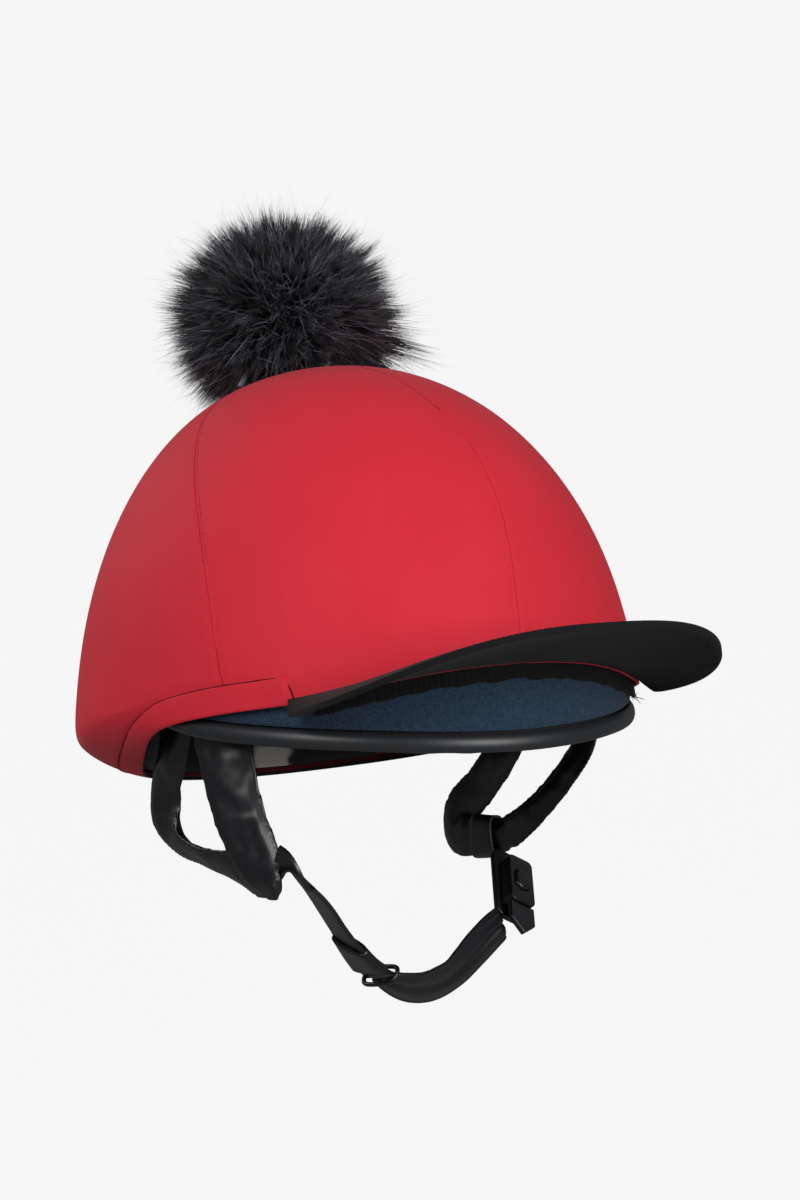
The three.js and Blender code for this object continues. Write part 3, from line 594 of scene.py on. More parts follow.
# %% Stitches of the cover
side_stitches_above = 70 * mm
for name in ("left", "right"):
    path = [point for point in seams[name] if point.z > side_stitches_above]
    row = stitched(f"stitches_{name}", path, cover_tree, 0.9 * mm, 2.1 * mm, 0.42 * mm,
                   shift=(1.0 if name == "right" else -1.0) * mm)
    done(row, "stretch_cloth", red_thread)
row = stitched("stitches_hem", seams["hem"], cover_tree, 0.95 * mm, 1.35 * mm, 0.34 * mm, lift=0.0)
done(row, "stretch_cloth", hem_thread)

# %% [markdown]
# ## Peak
# The peak is a stiff board covered in black cloth, with a row of stitches a little inside its edge.
# A copy of its solid is subdivided, and the stitches follow the edge at an even distance.

# %% Peak
peak = copy_of("peak", "peak_cover")
crease_sharp(peak, 60)
subdivided(peak, 2)
bevelled(peak, 0.7 * mm, 2, 55)
smooth(peak, 60)
done(peak, "black_fabric", peak_cloth, "peak")
peak_tree = tree_of(peak)
peak_outline = 2.3
peak_corner = 98 * mm
row_points = 120
above_peak, below_peak = 0.08, -0.02


def peak_row(inset, top):
    """Points a little inside the peak's edge, on its upper or lower side, from corner to corner."""
    low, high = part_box("peak")
    power = 2 / peak_outline
    points = []
    for i in range(row_points + 1):
        turn = math.pi * (i / row_points - 0.5)
        x = math.copysign(abs(math.sin(turn)) ** power, turn) * (high.x - inset)
        y = -peak_corner - (abs(math.cos(turn)) ** power) * (-low.y - peak_corner - inset)
        start = Vector((x, y, above_peak if top else below_peak))
        hit, _, _, _ = peak_tree.ray_cast(start, Vector((0, 0, -1 if top else 1)))
        if hit:
            points.append(hit)
    return points


for side, top in (("upper", True), ("lower", False)):
    row = stitched(f"stitches_peak_{side}", peak_row(3 * mm, top), peak_tree, 1.5 * mm, 2.2 * mm, 0.28 * mm)
    done(row, "black_fabric", black_thread)

# %% [markdown]
# ## Elastic
# A grip of gathered elastic lies inside the front edge. Gathers are small upright folds, close and
# uneven, so the band is subdivided along its length and pushed in and out by a wave whose phase
# wanders with noise.

# %% Elastic
elastic = copy_of("grip_elastic", "gathered_elastic")
crease_sharp(elastic, 60)
subdivided(elastic, 3)
gather_pitch = 2.3 * mm
gather_depth = 0.35 * mm
gather_sink = 0.3 * mm
edge_wave = 1.1 * mm
elastic_radius = 115 * mm
spots, normals = places(elastic)
for i, spot in enumerate(spots):
    place = Vector(spot)
    run = math.atan2(place.x, -place.y) * elastic_radius
    wander = noise.noise(Vector((run * 160, place.z * 90, 0)))
    strength = 0.35 + 0.9 * abs(noise.noise(Vector((run * 60, place.z * 120, 7))))
    wave = math.sin(2 * math.pi * run / gather_pitch + 4.5 * wander) * strength
    away = Vector((place.x, place.y, 0)).normalized()
    spots[i] += np.array(away * (wave * gather_depth - gather_sink) + Vector((0, 0, wander * edge_wave)))
put(elastic, spots)
smooth(elastic, 60)
done(elastic, "black_fabric", elastic_cloth, "grip_elastic")

# %% [markdown]
# The elastic is cut, not hemmed, at the wearer's left, so a few threads stand out of its end.

# %% Frayed threads
fray = np.random.default_rng(3)
fray_count = 26
end_points = 200
fray_aim = np.array([0.62, 0.62, -0.1])
end_of_elastic = spots[np.argsort(np.arctan2(spots[:, 0], -spots[:, 1]))[-end_points:]]
roots = end_of_elastic[fray.integers(0, end_points, fray_count)]
forward = fray_aim + fray.normal(0, 0.45, (fray_count, 3))
forward /= np.linalg.norm(forward, axis=1, keepdims=True)
threads = scattered("frayed_threads", stitch, roots - forward * 1.5 * mm,
                    roots + forward * fray.uniform(2, 6.5, (fray_count, 1)) * mm,
                    fray.normal(0, 1, (fray_count, 3)), fray.uniform(0.2, 0.4, fray_count) * mm)
done(threads, "black_fabric", elastic_cloth)

# %% [markdown]
# ## Skull cap
# The shell shows as a band of dark blue flock, short fibres glued to a hard shell: dull, with a fine
# speckle. Its edge has a rubber strip with a satin shine. Inside is a black lining over foam.

# %% Shell, edge, lining
shell = subdivided(copy_of("shell", "flocked_shell"), 1)
smooth(shell, 50)
done(shell, "flock", flocked, "shell")
trim = subdivided(copy_of("rim_trim", "rubber_edge"), 2)
smooth(trim, 80)
done(trim, "black_rubber", satin_rubber, "rim_trim")
lining = copy_of("liner", "lining_over_foam")
crease_sharp(lining, 60)
subdivided(lining, 2)
rippled(lining, 0.7 * mm, 70)
smooth(lining, 60)
done(lining, "lining", black_lining, "liner")

# %% [markdown]
# The nape tape is pale cloth under a black net that is worn open in two places. An attribute says where
# the pale cloth shows, and the finish mixes the two by it.

# %% Nape tape
nape = copy_of("nape_band", "nape_tape")
crease_sharp(nape, 60)
smooth(subdivided(nape, 3), 60)
# the middle of each open place and its half width
open_places = ((-29 * mm, 4.5 * mm), (9 * mm, 9 * mm))
ragged_waves, ragged_depth, ragged_fade = 260, 2.5 * mm, 2 * mm
spots, _ = places(nape)
ragged = np.array([noise.noise(Vector(spot) * ragged_waves) for spot in spots]) * ragged_depth
pale = np.zeros(len(spots))
for middle, reach in open_places:
    pale = np.maximum(pale, np.clip((reach + ragged - np.abs(spots[:, 0] - middle)) / ragged_fade, 0, 1))
painted(nape, "pale", pale)
nape_net = finish("nape_net", linear(18, 18, 19), linear(11, 11, 12), size=0.01, rough=0.85)
nape_look = overlaid(nape_net, "nape_cloth", "pale", linear(176, 172, 165))
bpy.data.materials.remove(nape_net)
done(nape, "pale_fabric", nape_look, "nape_band")

# %% [markdown]
# ## Harness
# The ear straps are soft leather sewn round a flat pad: a puffed middle between two flat sewn edges.
# Each is swept along its route with that section. The two straps of a side are joined by a voxel
# remesh, then a short cloth simulation blows the pad up against its sewn edges, which wrinkles the
# leather as the real one does.

# %% Routes of the straps
half_straps = 80 * mm
half_length = 134 * mm
harness_drop = 58 * mm
chin_drop = 102 * mm
# out, back and down are shares of the three sizes above; face and dip aim the outer side, in degrees;
# wide and thick are shares of the strap's own width and thickness.
RIGHT_REAR = [
    (-1.05, -0.01, -0.3, -72, 0, 0.95, 0.9),
    (-1.04, 0.07, -0.04, -72, 0, 1, 1),
    (-1.01, 0.175, 0.21, -72, 0, 1, 1.05),
    (-1.01, 0.19, 0.4, -74, 8, 1, 1),
    (-0.995, 0.15, 0.555, -78, 32, 0.95, 1),
    (-0.975, 0.03, 0.69, -82, 48, 0.9, 1),
    (-0.96, -0.13, 0.785, -80, 40, 0.95, 1),
    (-0.95, -0.29, 0.87, -76, 18, 1, 0.9),
    (-0.94, -0.44, 0.975, -74, 0, 0.6, 0.8),
]
RIGHT_FRONT = [
    (-1.09, -0.32, -0.2, -50, 0, 1, 0.9),
    (-1.07, -0.32, 0.02, -50, 0, 1, 1),
    (-1.05, -0.325, 0.25, -50, 0, 0.98, 1),
    (-1.025, -0.335, 0.5, -54, 0, 0.96, 1),
    (-0.985, -0.36, 0.72, -62, 0, 0.96, 1),
    (-0.955, -0.395, 0.9, -70, 0, 0.85, 0.9),
]
LEFT_REAR = [
    (1.06, 0.02, -0.3, 100, 0, 0.95, 0.9),
    (1.03, 0.055, -0.08, 104, 0, 1, 1),
    (0.98, 0.135, 0.17, 108, 0, 1, 1),
    (0.96, 0.25, 0.36, 110, 0, 1, 1),
    (0.925, 0.36, 0.55, 108, 0, 1.05, 1),
    (0.905, 0.37, 0.67, 100, 0, 1, 1),
    (0.91, 0.22, 0.745, 93, 0, 0.9, 1),
    (0.925, 0.07, 0.755, 88, 0, 0.8, 0.9),
]
LEFT_FRONT = [
    (1.1, -0.34, -0.2, 68, 0, 0.95, 0.9),
    (1.08, -0.32, 0.1, 69, 0, 0.92, 0.95),
    (1.03, -0.25, 0.3, 71, 0, 0.78, 0.95),
    (0.985, -0.15, 0.49, 74, 0, 0.68, 0.95),
    (0.945, -0.03, 0.655, 80, 0, 0.66, 0.95),
    (0.93, 0.07, 0.74, 86, 0, 0.68, 0.9),
]
CHIN_STRAP = [
    (-0.94, -0.43, 0.45, -92, 0, 0.8, 1),
    (-0.88, -0.46, 0.49, -98, 14, 0.85, 1),
    (-0.8, -0.425, 0.53, -102, 26, 0.9, 1),
    (-0.7, -0.395, 0.6, -104, 33, 1, 1),
    (-0.57, -0.345, 0.71, -104, 35, 1, 1),
    (-0.44, -0.3, 0.82, -98, 36, 1, 1),
    (-0.33, -0.265, 0.9, -86, 40, 0.95, 1),
    (-0.25, -0.252, 0.942, -74, 46, 0.8, 1),
]
CHIN_PAD = [
    (-0.235, -0.25, 0.947, -70, 50, 0.7, 0.8),
    (-0.12, -0.232, 0.98, -40, 55, 0.9, 1),
    (0.02, -0.2, 1, -14, 50, 1.05, 1),
    (0.17, -0.17, 0.995, 0, 44, 1.1, 1),
    (0.32, -0.142, 0.95, 6, 36, 1.05, 1),
    (0.46, -0.122, 0.882, 10, 30, 1, 1),
    (0.58, -0.11, 0.822, 12, 24, 0.9, 0.9),
    (0.65, -0.105, 0.79, 14, 20, 0.8, 0.8),
]


strap_step = 1.5 * mm


def strap_frames(rows, drop, width, thick):
    """Centre, direction, outward side, cross side, half width and half thickness along a strap."""
    rows = np.array(rows, float)
    spots = rows[:, :3] * [half_straps, half_length, -drop]
    knots = np.concatenate([[0], np.cumsum(np.linalg.norm(np.diff(spots, axis=0), axis=1))])
    wanted = np.linspace(0, knots[-1], round(knots[-1] / strap_step))
    values = np.concatenate([spots, rows[:, 3:]], 1)
    smooth_values = hermite(knots, values, wanted)
    centres = smooth_values[:, :3]
    runs = np.gradient(centres, axis=0)
    runs /= np.linalg.norm(runs, axis=1, keepdims=True)
    face, dip = np.radians(smooth_values[:, 3]), np.radians(smooth_values[:, 4])
    outs = np.stack([np.sin(face) * np.cos(dip), -np.cos(face) * np.cos(dip), -np.sin(dip)], 1)
    outs -= runs * (outs * runs).sum(1, keepdims=True)
    outs /= np.linalg.norm(outs, axis=1, keepdims=True)
    crosses = np.cross(outs, runs)
    return centres, runs, outs, crosses, smooth_values[:, 5] * width / 2, smooth_values[:, 6] * thick / 2


def hermite(knots, values, wanted):
    """A smooth curve through the values at the knots."""
    slopes = np.gradient(values, knots, axis=0)
    place = np.clip(np.searchsorted(knots, wanted, side="right") - 1, 0, len(knots) - 2)
    step = (knots[place + 1] - knots[place])[:, None]
    t = (wanted[:, None] - knots[place][:, None]) / step
    return (
        (2 * t**3 - 3 * t**2 + 1) * values[place]
        + (t**3 - 2 * t**2 + t) * step * slopes[place]
        + (3 * t**2 - 2 * t**3) * values[place + 1]
        + (t**3 - t**2) * step * slopes[place + 1]
    )


# %% [markdown]
# The section of a padded strap is drawn as a flat sewn edge of leather, then the swell of the pad,
# on both of its faces. A plain strap has the same edge and no swell.

# %% Sweeping a strap
edge_width = 2.3 * mm
edge_thick = 1.7 * mm
groove_width = 0.16
least_pad = 0.4


def strap_mesh(name, frames, groove=0.0, sides=14):
    """A strap through its frames. groove sinks a line along the middle of its outer face."""
    centres, _, outs, crosses, half_wides, half_thicks = frames
    spots = []
    shares = np.linspace(-1, 1, sides)
    inner = np.maximum(half_wides - edge_width, least_pad * half_wides)
    for face in (1, -1):
        for share in shares if face == 1 else shares[::-1]:
            place = share * half_wides
            swell = np.sqrt(np.maximum(0, 1 - (place / inner) ** 2))
            high = edge_thick / 2 + (half_thicks - edge_thick / 2) * swell
            high = high - (groove * np.exp(-((share / groove_width) ** 2)) if face == 1 else 0)
            spots.append(centres + crosses * place[:, None] + outs * (face * high)[:, None])
    ring = len(spots)
    spots = np.stack(spots, 1)
    rows = len(centres)
    faces = []
    for j in range(rows - 1):
        for i in range(ring):
            a, b = j * ring + i, j * ring + (i + 1) % ring
            faces.append((a, b, b + ring, a + ring))
    faces.append(tuple(range(ring))[::-1])
    faces.append(tuple((rows - 1) * ring + i for i in range(ring)))
    mesh = bpy.data.meshes.new(name)
    mesh.from_pydata(spots.reshape(-1, 3).tolist(), [], faces)
    return edited(linked(name, mesh), bpy.ops.mesh.normals_make_consistent, inside=False)


def edge_paths(frames, inset):
    """The two lines along a strap's outer face, an inset in from its edges."""
    centres, _, outs, crosses, half_wides, _ = frames
    aside = crosses * (half_wides - inset)[:, None]
    return [centres + sign * aside + outs * edge_thick for sign in (1, -1)]


def joined(name, *pieces):
    bpy.ops.object.select_all(action="DESELECT")
    for piece in pieces:
        piece.select_set(True)
    bpy.context.view_layer.objects.active = pieces[0]
    bpy.ops.object.join()
    pieces[0].name = name
    return pieces[0]


# %% [markdown]
# The pad is blown up by Blender's cloth. The sewn edges are pinned, the leather is made a little
# larger than the pad so that it has something to wrinkle with, and no point may move further than
# the real leather would.

# %% Inflating a strap
voxel = 1.5 * mm
longest_move = 0.9 * mm
pressure = 4.0
cloth_frames = 14
sewn_inset, sewn_width = 0.6 * mm, 2.2 * mm
held_top = 4 * mm


def blown_up(piece):
    """Runs the cloth on a piece whose sewn points are in its vertex group."""
    before, _ = places(piece)
    cloth = piece.modifiers.new("cloth", "CLOTH")
    cloth.settings.vertex_group_mass = "sewn"
    cloth.settings.use_pressure = True
    cloth.settings.uniform_pressure_force = pressure
    cloth.settings.effector_weights.gravity = 0
    cloth.settings.shrink_min = -0.012
    cloth.settings.quality = 4
    cloth.collision_settings.use_collision = False
    for number in range(1, cloth_frames + 1):
        bpy.context.scene.frame_set(number)
    bpy.ops.object.modifier_apply(modifier=cloth.name)
    bpy.context.scene.frame_set(1)
    moves = places(piece)[0] - before
    far = np.linalg.norm(moves, axis=1, keepdims=True)
    moves *= np.minimum(1, longest_move / np.maximum(far, 1e-9))
    put(piece, before + moves)
    mean_move = float(np.linalg.norm(moves, axis=1).mean())
    print(piece.name, "moved", round(mean_move / mm, 2), "mm on average")


def inflated(piece, frames_list):
    only(piece)
    piece.data.remesh_voxel_size = voxel
    bpy.ops.object.voxel_remesh()
    softened(piece, 2)
    points = [Vector(point) for frames in frames_list
              for path in edge_paths(frames, sewn_inset) for point in path]
    edges = KDTree(len(points))
    for i, point in enumerate(points):
        edges.insert(point, i)
    edges.balance()
    spots, _ = places(piece)
    pins = piece.vertex_groups.new(name="sewn")
    top = spots[:, 2].max()
    for i, spot in enumerate(spots):
        if edges.find(Vector(spot))[2] < sewn_width or spot[2] > top - held_top:
            pins.add([i], 1.0, "REPLACE")
    blown_up(piece)
    piece.vertex_groups.clear()
    softened(piece, 3)
    subdivided(piece, 1)
    return smooth(piece, 80)


fold_points = 30


def creased(piece, frames, folds):
    """Sinks soft folds into a strap's outer face, by shares of its length and of its half width."""
    centres, _, outs, crosses, half_wides, half_thicks = frames
    last = len(centres) - 1
    spots, _ = places(piece)
    for along_from, across_from, along_to, across_to, depth, width in folds:
        shares = np.linspace(0, 1, fold_points)
        rows = np.clip(np.round((along_from + (along_to - along_from) * shares) * last).astype(int), 0, last)
        across = across_from + (across_to - across_from) * shares
        path = centres[rows] + crosses[rows] * (across * half_wides[rows])[:, None]
        path += outs[rows] * half_thicks[rows][:, None]
        gaps = np.linalg.norm(spots[:, None] - path[None], axis=2)
        nearest = gaps.argmin(1)
        spots -= outs[rows][nearest] * (depth * mm * np.exp(-((gaps.min(1) / (width * mm)) ** 2)))[:, None]
    put(piece, spots)


def cut_to_liner(frames, low):
    """Leaves out what would stand inside the cap, above a height."""
    keep = frames[0][:, 2] < low
    return tuple(part[keep] for part in frames)


# %% [markdown]
# Where a strap bends at its corner, the leather of the inner side folds. The folds are listed: where
# each starts and ends, as shares of the strap's length and half width, then its depth and width.

# %% Ear straps
STRAP_FOLDS = {
    "right": (
        [(0.5, -0.6, 0.56, 0.4, 0.4, 2.6)],
        [(0.7, 0.3, 0.8, -0.6, 0.9, 2.8), (0.84, 0.2, 0.93, -0.5, 0.8, 2.6)],
    ),
    "left": (
        [(0.68, -0.6, 0.74, 0.6, 0.9, 2.5), (0.25, 0.1, 0.5, -0.1, 0.4, 2.8)],
        [(0.5, 0.6, 0.54, 0.1, 0.7, 2.0), (0.62, 0.6, 0.66, 0.0, 0.7, 2.0), (0.76, 0.6, 0.8, -0.1, 0.6, 2.0)],
    ),
}
strap_top = 15 * mm
ear_widths = {"rear": 19 * mm, "front": 24 * mm}
ear_thick = 6 * mm
for side, rear, front in (("right", RIGHT_REAR, RIGHT_FRONT), ("left", LEFT_REAR, LEFT_FRONT)):
    routes = {
        label: cut_to_liner(strap_frames(rows, harness_drop, ear_widths[label], ear_thick), strap_top)
        for label, rows in (("rear", rear), ("front", front))
    }
    both = joined(f"padded_strap_{side}", *[strap_mesh(label, frames) for label, frames in routes.items()])
    inflated(both, routes.values())
    for frames, folds in zip(routes.values(), STRAP_FOLDS[side]):
        creased(both, frames, folds)
    softened(both, 14)
    done(both, "black_leather", soft_leather, f"ear_strap_{side}")
    strap_tree = tree_of(both)
    for label, frames in routes.items():
        for edge, path in zip("ab", edge_paths(frames, 1.3 * mm)):
            row = stitched(f"stitches_strap_{side}_{label}_{edge}", path, strap_tree, 1.5 * mm, 2.3 * mm,
                           0.35 * mm)
            done(row, "black_leather", harness_thread)

# %% [markdown]
# The chin strap is a plain doubled strap, and its pad is soft but hangs straight, so both are swept
# directly, the pad with the sewn groove along its middle. The sleeve, the keeper and the rubber ring
# are short moulded or folded pieces, and a subdivided copy of each solid is enough.

# %% Chin strap, pad, sleeve, keeper, ring
chin_frames = strap_frames(CHIN_STRAP, chin_drop, 19 * mm, 2.5 * mm)
chin_strap = strap_mesh("chin_strap_leather", chin_frames)
bevelled(chin_strap, 0.4 * mm, 2, 50)
smooth(chin_strap, 50)
done(chin_strap, "black_leather", soft_leather, "chin_strap")
pad_frames = strap_frames(CHIN_PAD, chin_drop, 21 * mm, 5.5 * mm)
chin_pad = strap_mesh("chin_pad_leather", pad_frames, groove=1.5 * mm, sides=24)
smooth(subdivided(chin_pad, 1), 60)
done(chin_pad, "black_leather", soft_leather, "chin_pad")
for label, piece, frames in (("strap", chin_strap, chin_frames), ("pad", chin_pad, pad_frames)):
    own_tree = tree_of(piece)
    for edge, path in zip("ab", edge_paths(frames, 1.2 * mm)):
        row = stitched(f"stitches_chin_{label}_{edge}", path, own_tree, 1.3 * mm, 2.0 * mm, 0.3 * mm,
                       lift=0.0)
        done(row, "black_leather", harness_thread)

for node, name, slot_name, look in (
    ("strap_sleeve", "leather_sleeve", "black_leather", soft_leather),
    ("keeper_loop", "leather_keeper", "black_leather", soft_leather),
    ("o_ring", "rubber_ring", "black_rubber", o_ring_rubber),
):
    piece = copy_of(node, name)
    if node != "o_ring":
        crease_sharp(piece, 70)
    smooth(subdivided(piece, 2), 60)
    done(piece, slot_name, look, node)

# %% [markdown]
# ## Buckle
# The quick buckle is moulded plastic with rounded edges and a push button in a pocket. The plain
# blocks get their rounding from a bevel.

# %% Buckle
for node, name, slot_name, look, width in (
    ("buckle_body", "buckle_shell", "black_plastic", black_plastic, 1.7),
    ("buckle_button", "push_button", "black_plastic", black_plastic, 1.2),
    ("buckle_pad", "buckle_backing", "black_leather", soft_leather, 0.9),
    ("strap_end", "strap_tip", "black_leather", soft_leather, 0.5),
):
    piece = copy_of(node, name)
    edited(piece, bpy.ops.mesh.dissolve_limited, angle_limit=math.radians(3))
    bevelled(piece, width * mm, 4, 40)
    smooth(piece, 50)
    done(piece, slot_name, look, node)

# %% [markdown]
# ## Pompom
# The ball is faux fur: a dense black underfur in pointed locks, and long guard hairs with pale grey
# tips that cross each other. Strands of a hair system would not export, so each hair is a thin
# three-sided spike with joints to bend at, copied tens of thousands of times round a dark core.

# %% Hair templates and core


def hair_template(joints):
    """A spike along +Z from 0 to 1 with joints, so that it can bend."""
    bpy.ops.object.select_all(action="DESELECT")
    bpy.ops.mesh.primitive_cone_add(vertices=3, radius1=0.5, radius2=0, depth=1, location=(0, 0, 0.5))
    hair = bpy.context.object
    bpy.ops.object.transform_apply(location=True)
    bpy.ops.object.mode_set(mode="EDIT")
    for share in joints:
        bpy.ops.mesh.select_all(action="SELECT")
        bpy.ops.mesh.bisect(plane_co=(0, 0, share), plane_no=(0, 0, 1))
    bpy.ops.mesh.select_all(action="SELECT")
    bpy.ops.mesh.quads_convert_to_tris()
    bpy.ops.object.mode_set(mode="OBJECT")
    return hair


under_hair = hair_template((0.55,))
guard_hair = hair_template((0.3, 0.52, 0.74))
ball_centre = Vector((0, 32 * mm, 188 * mm))
core_radius = 32 * mm
fur_reach = 53.5 * mm
flattening = 0.93
print("hairs have", len(under_hair.data.polygons), "and", len(guard_hair.data.polygons), "faces")

bpy.ops.object.select_all(action="DESELECT")
bpy.ops.mesh.primitive_ico_sphere_add(subdivisions=5, radius=core_radius, location=ball_centre)
core = bpy.context.object
core.name = "fur_backing"
bpy.ops.object.transform_apply(location=True)
rippled(core, 2 * mm, 160)

# %% [markdown]
# A pile grows in locks: hairs near each other lean to a common tip, so the outline is a row of small
# points. The locks' directions are spread evenly over the ball by the golden angle, then moved a little
# at random.

# %% Locks
rng = np.random.default_rng(7)
lock_total = 540
lowest_root = -0.93
root_scatter = 0.05


def directions(count):
    """Even directions over the ball, from the top down to the lowest root's height share."""
    i = np.arange(count) + 0.5
    z = 1 - (1 - lowest_root) * i / count
    turn = i * math.pi * (3 - math.sqrt(5))
    flat = np.sqrt(1 - z * z)
    return np.stack([np.cos(turn) * flat, np.sin(turn) * flat, z], 1)


def unit_rows(rows):
    return rows / np.linalg.norm(rows, axis=1, keepdims=True)


def nearness(aims, middle, spread):
    """1 where an aim points to the middle direction, falling to 0 over a spread in radians."""
    middle = middle / np.linalg.norm(middle)
    return np.exp(-((np.arccos(np.clip(aims @ middle, -1, 1)) / spread) ** 2))


lock_aims = unit_rows(directions(lock_total) + rng.normal(0, root_scatter, (lock_total, 3)))
lock_reach = 1 + 0.05 * rng.standard_normal(lock_total)
lock_tone = rng.uniform(0.2, 1, lock_total)
lock_tree = KDTree(lock_total)
for i, aim in enumerate(lock_aims):
    lock_tree.insert(Vector(aim), i)
lock_tree.balance()

# %% [markdown]
# The hairs are nearly black at the root. Some turn pale grey towards the tip. Near the crown in
# front, a mauve cast of red light bounced from the cover is painted on them. So each hair
# carries two numbers that the finish mixes its colours by.

# %% Hair colours
backing_look = finish("fur_backing_cloth", linear(5, 5, 6), linear(2, 2, 3), size=0.006, bump=0, rough=1.0,
                      Specular_IOR_Level=0.0)


def fur_finish(name, root, grey, painted_red_bounce):
    """Hair colour runs from root to tip, differs from hair to hair, and has painted red bounce light in one
    area.
    """
    material, shader, nodes, link = new_material(name, Roughness=0.42, Specular_IOR_Level=0.35)
    mixes = []
    for attribute, first in (("painted_red_bounce", grey), ("tone", root)):
        read = nodes.new("ShaderNodeAttribute")
        read.attribute_name = attribute
        mix = nodes.new("ShaderNodeMix")
        mix.data_type = "RGBA"
        mix.inputs["A"].default_value = first
        link(read.outputs["Fac"], mix.inputs["Factor"])
        mixes.append(mix)
    mixes[0].inputs["B"].default_value = painted_red_bounce
    link(mixes[0].outputs["Result"], mixes[1].inputs["B"])
    link(mixes[1].outputs["Result"], shader.inputs["Base Color"])
    return material


# the last colour is painted red light bounced from the crown onto the hairs
fur_look = fur_finish("fur_hairs", linear(7, 7, 8), linear(196, 197, 212), linear(186, 160, 180))
done(core, "fur", backing_look, "pompom")

# %% [markdown]
# Underfur leans well into its lock; guard hairs stray, curl and are paler. Long wisps lie out over the
# crown in front, on the wearer's left side of the ball. Gravity bends the lower hairs down, and those
# that would run into the crown are lifted onto it.

# %% Growing the fur
# lean is towards the lock's tip, stray is sideways, power and pale set how many tips are pale
HAIRS = {
    "under": {"template": under_hair, "lean": 0.9, "stray": 0.022, "length": (0.8, 1.0), "width": 0.5 * mm,
              "power": 3, "pale": 0.2},
    "guard": {"template": guard_hair, "lean": 0.4, "stray": 0.16, "length": (0.82, 1.05), "width": 0.32 * mm,
              "power": 2, "pale": 1.5},
}
fur_layers = (("under", 8700), ("under", 8700), ("under", 8700), ("guard", 5600), ("guard", 5600))
root_depth = 0.92
wisp_aim, wisp_spread, wisp_extra = np.array([0.82, -0.47, -0.3]), 0.3, 0.45
# where the painted red bounce light from the crown is strongest, and how far it spreads
red_bounce_aim, red_bounce_spread = np.array([0.45, -0.72, -0.5]), 0.6
sag_depth = 4 * mm
crown_reach = 170 * mm
least_clear, lifted_to, lifted_more = 0.3 * mm, 0.4, 1.6


def curled(kind, spots, along, tips, count):
    """Bends each hair down by its own weight, and in a bow or an S at random."""
    spots[:, 2] -= np.repeat(np.clip(0.35 - tips[:, 2], 0, 1.2), count) * along**2 * sag_depth
    if kind == "guard":
        curl = (4.2 * rng.uniform(0, 1, (len(tips), 1)) ** 2 + 0.4) * mm
        bow = along * (1.6 * along - 0.6) * 1.6
    else:
        curl = 0.5 * mm
        bow = along**2
    spots += np.repeat(rng.normal(0, 1, tips.shape) * curl, count, axis=0) * bow[:, None]


def lifted(spots, along, count):
    """Puts the points that lie in the crown onto it, at heights that differ from hair to hair."""
    for i in np.nonzero(spots[:, 2] < crown_reach)[0]:
        spot, normal, _, _ = cover_tree.find_nearest(Vector(spots[i]))
        if (Vector(spots[i]) - spot).dot(normal) < least_clear:
            height = lifted_to + lifted_more * along[i] * ((i // count) % 7) / 7
            spots[i] = np.array(spot + normal * height * mm)


for number, (kind, hair_count) in enumerate(fur_layers):
    hair = HAIRS[kind]
    hair_spots, _ = places(hair["template"])
    count = len(hair_spots)
    aims = unit_rows(directions(hair_count) + rng.normal(0, root_scatter, (hair_count, 3)))
    locks = np.array([lock_tree.find(Vector(a))[1] for a in aims])
    lean = hair["lean"] * rng.uniform(0.75, 1.1, (hair_count, 1))
    tips = unit_rows(aims * (1 - lean) + lock_aims[locks] * lean + rng.normal(0, hair["stray"], aims.shape))
    wisps = nearness(tips, wisp_aim, wisp_spread)
    longer = 1 + wisp_extra * wisps * rng.uniform(0, 1, hair_count) ** 1.3
    reach = fur_reach * lock_reach[locks] * rng.uniform(*hair["length"], hair_count) * longer
    origins = np.array(ball_centre) + aims * core_radius * root_depth
    ends = np.array(ball_centre) + tips * reach[:, None] * [1, 1, flattening]
    piece = scattered(f"fur_{number + 1}", hair["template"], origins, ends, rng.normal(0, 1, aims.shape),
                      hair["width"] * rng.uniform(0.7, 1.3, hair_count))
    spots, _ = places(piece)
    along = np.tile(hair_spots[:, 2], hair_count)
    curled(kind, spots, along, tips, count)
    lifted(spots, along, count)
    put(piece, spots)
    shade = rng.uniform(0, 1, hair_count) ** hair["power"] * hair["pale"] * lock_tone[locks]
    painted(piece, "tone", np.repeat(np.minimum(shade, 1), count) * np.clip(along * 1.5 - 0.2, 0, 1))
    # painted red bounce light on the hairs that aim down towards the crown in front
    painted(piece, "painted_red_bounce", np.repeat(nearness(tips, red_bounce_aim, red_bounce_spread), count))
    done(piece, "fur", fur_look)
    print(piece.name, len(piece.data.polygons), "faces")

for template in (stitch, under_hair, guard_hair):
    bpy.data.objects.remove(template)

# %% [markdown]
# ## Sheets
# Each panel of cloth is listed with the size of the flat piece that it was sewn from. The knit is
# taken to be stretched by a tenth in area, so a cut is its panel's surface divided by 1.1.

# %% Cuts of the cloth
cuts = {
    "crown_panel_front_left": ((0.15, 0.19), 0.0181),
    "crown_panel_front_right": ((0.15, 0.19), 0.0197),
    "crown_panel_rear_left": ((0.2, 0.24), 0.0332),
    "crown_panel_rear_right": ((0.2, 0.24), 0.0332),
    "cover_hem": ((0.012, 0.48), 0.0057),
}
for node, (flat, area) in cuts.items():
    surface = sum(face.area for face in cover[node].data.polygons) / 2
    print(cover[node].name, "surface", round(surface, 4), "m2, cut", area, "m2")

# %% [markdown]
# ## Studio
# The floor lies well below, because the cap is held up and casts no shadow in the picture. Floor and
# wall are one curved sheet, so no line shows behind the object. It glows brightly only where the
# camera sees it, or the cap would be lit from all round. A large soft light stands on each side of
# the camera, the left one higher, and a weak one behind lights the edges.

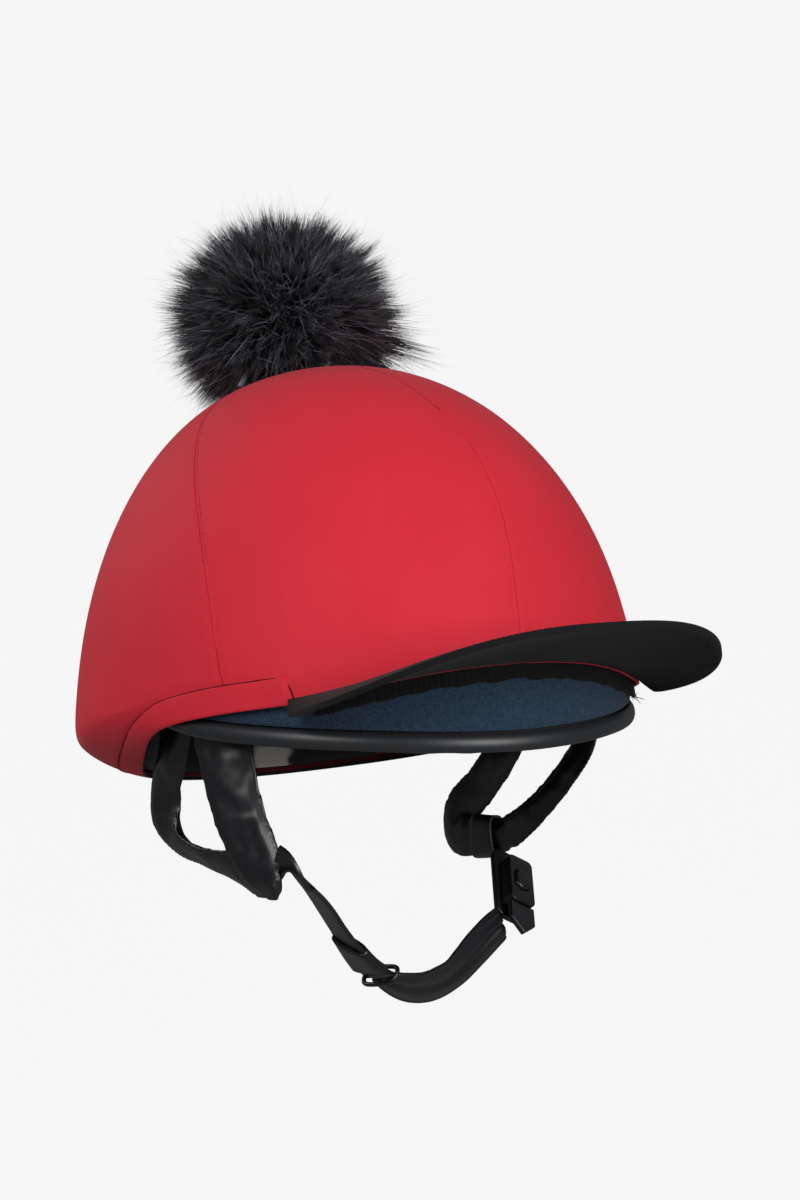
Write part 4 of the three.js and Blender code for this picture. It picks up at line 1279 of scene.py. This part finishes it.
# %% Studio
floor_depth = 0.75
bpy.ops.object.select_all(action="DESELECT")
bpy.ops.mesh.primitive_plane_add(size=14, location=(0, 0, -floor_depth))
floor = bpy.context.object
floor.name = "studio_floor"
edited(floor, bpy.ops.mesh.subdivide, number_cuts=60)
flat_reach, rise = 2.2, 0.16
for vertex in floor.data.vertices:
    vertex.co.z += rise * max(0, math.hypot(vertex.co.x, vertex.co.y) - flat_reach) ** 2
smooth(floor, 180)
paper, paper_shader, paper_nodes, paper_link = new_material(
    "studio_paper", Base_Color=(0.2, 0.2, 0.2, 1), Roughness=1, Specular_IOR_Level=0,
    Emission_Color=linear(246, 246, 246))
paper_glow = {"seen": 0.95, "cast": 0.1}
ray = paper_nodes.new("ShaderNodeLightPath")
glow = paper_nodes.new("ShaderNodeMapRange")
glow.inputs["To Min"].default_value = paper_glow["cast"]
glow.inputs["To Max"].default_value = paper_glow["seen"]
paper_link(ray.outputs["Is Camera Ray"], glow.inputs["Value"])
paper_link(glow.outputs["Result"], paper_shader.inputs["Emission Strength"])
floor.data.materials.append(paper)

world = bpy.data.worlds.new("studio")
bpy.context.scene.world = world
world.use_nodes = True
sky = world.node_tree.nodes["Background"].inputs
sky["Color"].default_value = (1, 1, 1, 1)
sky["Strength"].default_value = 0.2


def lamp(name, place, aim, size, power):
    bpy.ops.object.light_add(type="AREA", location=place)
    light = bpy.context.object
    light.name = name
    light.data.size = size
    light.data.energy = power
    light.rotation_euler = (Vector(aim) - Vector(place)).to_track_quat("-Z", "Y").to_euler()


crown_middle = (0, 0, 0.06)
lamp("key", camera_back * 1.25 - camera_right * 0.7 + Vector((0, 0, 0.62)), crown_middle, 0.7, 10.5)
lamp("fill", camera_back * 1.2 + camera_right * 1.0 + Vector((0, 0, 0.35)), crown_middle, 0.7, 15.5)
lamp("rim", -camera_back * 0.6 - camera_right * 1.1 + Vector((0, 0, 0.8)), crown_middle, 0.6, 5)

bpy.context.scene.view_settings.view_transform = "Standard"

# %% [markdown]
# ## Sizes
# The triangles of the finished pieces are counted, because hairs and stitches add up fast.

# %% Sizes
added = {o.name: sum(len(f.vertices) - 2 for f in o.data.polygons) for o in bpy.data.objects
         if o.type == "MESH" and o.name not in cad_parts}
print("triangles added:", sum(added.values()), "most:", sorted(added.items(), key=lambda x: -x[1])[:8])
